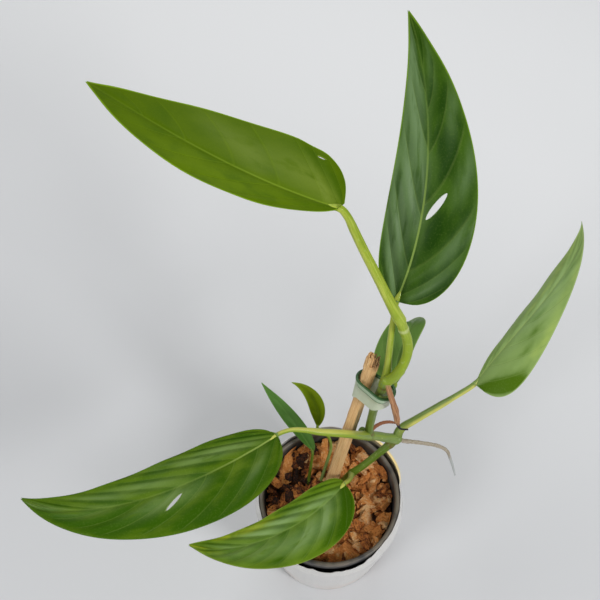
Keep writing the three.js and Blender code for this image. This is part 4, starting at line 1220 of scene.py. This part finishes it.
def leaf_skin(name, leaf):
    """Leathery skin: mottled green with faint veins, painted shade beside the side veins, and a painted
    sheen with a clear coat in patches between them.
    """
    material, wires, sockets = new_finish(
        name, Roughness=0.42, Specular_IOR_Level=0.05, Coat_Roughness=0.3, Coat_IOR=1.4
    )
    parts = ("lamina", "deep", "sheen_and_underside", "gold", "vein", "margin")
    shades = {part: wide_colour(*leaf[part]) for part in parts}
    u = wires.mark("spread", 0)
    turn = wires.mark("spread", 2)
    off = wires.mark("reach", 1)
    to_edge = wires.mark("reach", 2)
    mottle = wires.noise(wires.stretched("reach", (0.05, 0.1, 0)), 1.0, 3, 0.55)
    cells = wires.noise(wires.stretched("reach", (1.1, 1.1, 0)), 1.0, 3, 0.6)
    brush = wires.noise(wires.stretched("spread", (2.0, 2.2, 0.7)), 2.0, 3, 0.55)
    rise = wires.maths("FRACT", turn + 40.0)
    near_vein = (abs(rise - 0.5) * 2).ease(0.88, 0.99)
    # flank and band are painted shade of the quilted relief: between two side veins the blade is painted
    # darker beside one vein and lighter towards the next.
    flank = rise.ease(0.05, 0.85) * rise.ease(1.0, 1.0 - leaf["crease"])
    inner = to_edge.ease(0.6, 3.0)
    band = 1 - leaf["flank"] * (1 - flank) * inner
    depth = mottle.ease(0.68, 0.34) * leaf["mottle"] + (1 - band) * 0.6
    depth = depth + wires.mark("patches", 1) * brush.ease(0.2, 0.5)
    lamina = depth.ease(0.0, 1.0).mix(shades["lamina"], shades["deep"])
    lamina = (wires.mark("patches", 2) * mottle.ease(0.25, 0.6)).ease(0.0, 1.0).mix(lamina, shades["gold"])
    # The sheen is a painted highlight: a pale grey-green laid in the gloss patches, which also get a clear
    # coat. The same pale colour is the underside's.
    sheen = wires.mark("patches", 0) * (0.35 + 0.65 * band) * brush.ease(0.15, 0.55)
    lamina = (sheen * 0.9).mix(lamina, shades["sheen_and_underside"])
    lamina = (cells.ease(0.5, 0.8) * 0.14).mix(lamina, shades["vein"])
    lamina = (near_vein * 0.14 * inner).mix(lamina, shades["vein"])
    bright, fade = leaf["midrib_light"]
    midrib = abs(off).ease(0.6, 0.2) * (bright * u.ease(fade, 0.02) + 0.12)
    lamina = midrib.mix(lamina, shades["vein"])
    lamina = (to_edge.ease(0.6, 0.15) * 0.8).mix(lamina, shades["margin"])
    underside = (mottle * 0.5).mix(shades["sheen_and_underside"], shades["vein"])
    lamina = wires.mark("upper").ease(0.35, 0.65).mix(underside, lamina)
    wires.join(lamina, sockets["Base Color"])
    wires.join(0.36 + 0.14 * cells + 0.08 * near_vein, sockets["Roughness"])
    wires.join(0.2 * sheen, sockets["Coat Weight"])
    relief = cells * 0.3 - near_vein * 0.5
    wires.join(wires.bump(relief, 0.0003, 0.6), sockets["Normal"])
    return material


def petiole_shape(share, angle):
    """A sheath that swells at the foot, and a shallow channel along the upper side."""
    sheath = 0.18 * math.exp(-((share / 0.16) ** 2))
    channel = -0.16 * math.exp(-(((angle - math.pi / 2) / 0.5) ** 2)) * min(1, share / 0.1)
    return 1 + sheath + channel


for name, leaf in LEAVES.items():
    measure_midrib(leaf)
    blade = blade_piece(name + "_blade", leaf, leaf_skin(name + "_skin", leaf))
    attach(blade, "root")
    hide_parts(name)
    stalk_radius = leaf["petiole"][-1][3]
    middle, _, upward = midrib_frame(leaf, np.array(0.035 * leaf["length"]))
    head = middle - upward * (0.35 + 0.6 * stalk_radius)
    route = [*leaf["petiole"], (*head, 0.7 * stalk_radius)]
    petiole = Stalk().tube(route, steps=5, tint=leaf["tint"], shape=petiole_shape, stripe=leaf["stripe"])
    petiole = petiole.piece(name + "_petiole", stem_skin)
    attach(petiole, "root")


# Tie. An oval collar of milky, pale green plastic round the stake and the stem. Its upper edge is
# rolled outward, and small teeth inside its front grip the stem.
TIE_LEVEL = 176
TIE_STEPS = 96
TIE_STAKE_REACH = 5.4
TIE_STEM_REACH = 6.4
TEETH = 6
tie_stake_side = STAKE_FOOT + stake_way * ((TIE_LEVEL - STAKE_FOOT[2]) / stake_way[2])
tie_stem_side = np.array((25.2, 24.6, TIE_LEVEL - 0.6))


def tie_outward(angle):
    """The way out of the collar at an angle, square to the stake."""
    side = np.array((math.cos(angle), math.sin(angle), 0.0))
    side -= stake_way * side.dot(stake_way)
    return side / np.linalg.norm(side)


def tie_edge(angle):
    """The outermost place of two rounds, one about the stake and one about the stem."""
    outward = tie_outward(angle)
    stake_edge = tie_stake_side + outward * TIE_STAKE_REACH
    stem_edge = tie_stem_side + outward * TIE_STEM_REACH
    return stake_edge if stake_edge.dot(outward) > stem_edge.dot(outward) else stem_edge


milky_plastic, wires, sockets = new_finish(
    "milky_plastic",
    Roughness=0.3,
    Alpha=0.93,
    Subsurface_Weight=0.2,
    Subsurface_Radius=(0.002, 0.002, 0.002),
)
bead = wires.mark("bead")
haze = wires.noise(wires.place(), 300, 2)
milk = haze.mix(wide_colour(196, 206, 176), wide_colour(214, 220, 196))
# The rolled edge is dark green, with a pale grey-green band painted along its outer face as a highlight.
milk = bead.ease(0.1, 0.3).mix(milk, wide_colour(170, 190, 160))
milk = bead.ease(0.5, 0.85).mix(milk, wide_colour(50, 92, 46))
wires.join(milk, sockets["Base Color"])
wires.join(wires.bump(haze, 0.0002, 0.3), sockets["Normal"])
places, bead_and_highlight_marks = [], []
for step in range(TIE_STEPS):
    angle = 2 * math.pi * step / TIE_STEPS
    outward = tie_outward(angle)
    height = 13.2 + 5 * math.cos(angle - math.radians(140))
    inset = 0.05 * height
    edge = tie_edge(angle)
    off_front = abs(math.degrees(angle) - 245) / 45
    band = 1.5 + 2.0 * max(0.0, 1 - off_front**4)
    section = [
        (-0.85 - inset, height, 0),
        (-0.5 - inset, height + 0.12, 0),
        (-0.12 - inset, height, 0),
        (-0.1 - 0.5 * inset, 0.5 * (height + band + 0.6), 0),
        (-0.1, band + 0.6, 0),
        (0.25, band, 1),
        (0.36, band - 0.4, 1),
        (0.4, band - 0.7, 0.3),
        (0.4, 0.9, 0.3),
        (0.3, 0.35, 1),
        (-0.1, 0.0, 1),
        (-0.7, -0.05, 1),
        (-1.1, 0.3, 1),
        (-1.15, 0.9, 1),
        (-0.95, 1.6, 0.7),
        (-0.85, 2.4, 0),
        (-0.85 - 0.5 * inset, 0.5 * height, 0),
    ]
    for out, down, mark in section:
        places.append(tuple(edge + outward * out - stake_way * down))
        bead_and_highlight_marks.append(mark)
faces = [(a, d, c, b) for a, b, c, d in hoop_faces(TIE_STEPS, len(section))]
collar = mesh_piece("tie_collar", places, faces, milky_plastic, {"bead": bead_and_highlight_marks}, 60)
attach(collar, "root")
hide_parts("tie")
teeth = Stalk()
for tooth in range(TEETH):
    angle = math.radians(-118 + 11 * tooth)
    outward = tie_outward(angle)
    foot = tie_edge(angle) - outward * 0.6 - stake_way * 1.4
    head = foot - outward * 2.0 + stake_way * 1.0
    teeth.tube([(*foot, 0.55), (*(0.5 * (foot + head)), 0.5), (*head, 0.3)], 8, 3, (0.5, 0.5))
teeth = teeth.piece("tie_teeth", stem_skin)
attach(teeth, "root")


# Aerial roots. Two thin, woody roots grow from the nodes. The long one reaches right and bends
# down to a greyish living tip, and the short one arches behind the stem.
root_bark, wires, sockets = new_finish("root_bark", Roughness=0.85)
scales = wires.noise(wires.stretched("grain", (1.8, 1.8, 0.7)), 1.2, 4, 0.6)
share = wires.mark("share")
ruddy = wires.mark("tint")
bark = scales.ease(0.3, 0.7).mix(wide_colour(146, 132, 112), wide_colour(184, 174, 156))
bark = ruddy.mix(bark, wide_colour(146, 92, 62))
bark = (share.ease(0.6, 0.8) * (1 - ruddy)).mix(bark, wide_colour(176, 180, 178))
wires.join(bark, sockets["Base Color"])
wires.join(wires.bump(scales, 0.0004, 0.8), sockets["Normal"])


def knobbly(share, angle):
    """Fine knobs all along a root."""
    return 1 + 0.06 * math.sin(60 * share + 2 * angle) + 0.05 * math.sin(143 * share + angle)


# Each root: its route of x, y, z and radius, and how red its bark is.
ROOTS = {
    "aerial_root_1": (
        [(*SIDE_NODE, 1.3), (42.2, 25.2, 101.8, 1.3), (46.5, 25, 101, 1.2), (54.7, 24.7, 99, 1.1),
         (62.5, 24.3, 96, 1.1), (67.6, 23.3, 92, 1.0), (71.1, 22.1, 82, 0.8), (73.7, 19.4, 74, 0.7),
         (75.5, 16.5, 68, 0.5)],
        0.0,
    ),
    "aerial_root_2": (
        [(*MIDDLE_NODE, 1.2), (24, 26.6, 118, 1.1), (28.5, 29.6, 117.5, 1.0),
         (33.2, 31.6, 114.5, 0.9), (37.4, 33, 109.5, 0.6)],
        1.0,
    ),
}
for name, (route, redness) in ROOTS.items():
    root = Stalk().tube(route, 12, 10, (redness, redness), knobbly).piece(name + "_bark", root_bark)
    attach(root, "root")
    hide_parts(name)


# Dried sheath. The withered sheath of an old leaf hangs from the top node: a tan, papery roll that
# narrows to a thin black thread at its end.
papery, wires, sockets = new_finish("papery_sheath", Roughness=0.8)
creases = wires.noise(wires.stretched("grain", (1.6, 1.6, 0.12)), 1.2, 4, 0.6)
share = wires.mark("share")
tan = creases.ease(0.3, 0.7).mix(wide_colour(140, 90, 56), wide_colour(206, 156, 112))
tan = share.ease(0.12, 0.0).mix(tan, wide_colour(176, 190, 120))
wires.join(share.ease(0.7, 0.8).mix(tan, wide_colour(26, 24, 26)), sockets["Base Color"])
wires.join(wires.bump(creases, 0.0008, 0.9), sockets["Normal"])


def shrivelled(share, angle):
    """Folds that run along the dried sheath."""
    return 1 + 0.14 * math.sin(3 * angle + 5 * share) + 0.07 * math.sin(7 * angle + 30 * share)


sheath_route = [
    (*TOP_NODE, 1.3), (27.2, 21.2, 182.5, 1.3), (28.6, 17.3, 180, 1.4), (30.9, 14.4, 173, 1.6),
    (32.5, 12.4, 165.5, 1.5), (33.5, 11.1, 160.5, 0.8), (35.1, 10.5, 157, 0.45), (38.8, 10.6, 156, 0.45),
]
sheath = Stalk().tube(sheath_route, 20, 8, (0, 0), shrivelled).piece("withered_sheath", papery)
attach(sheath, "root")
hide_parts("dried_sheath")
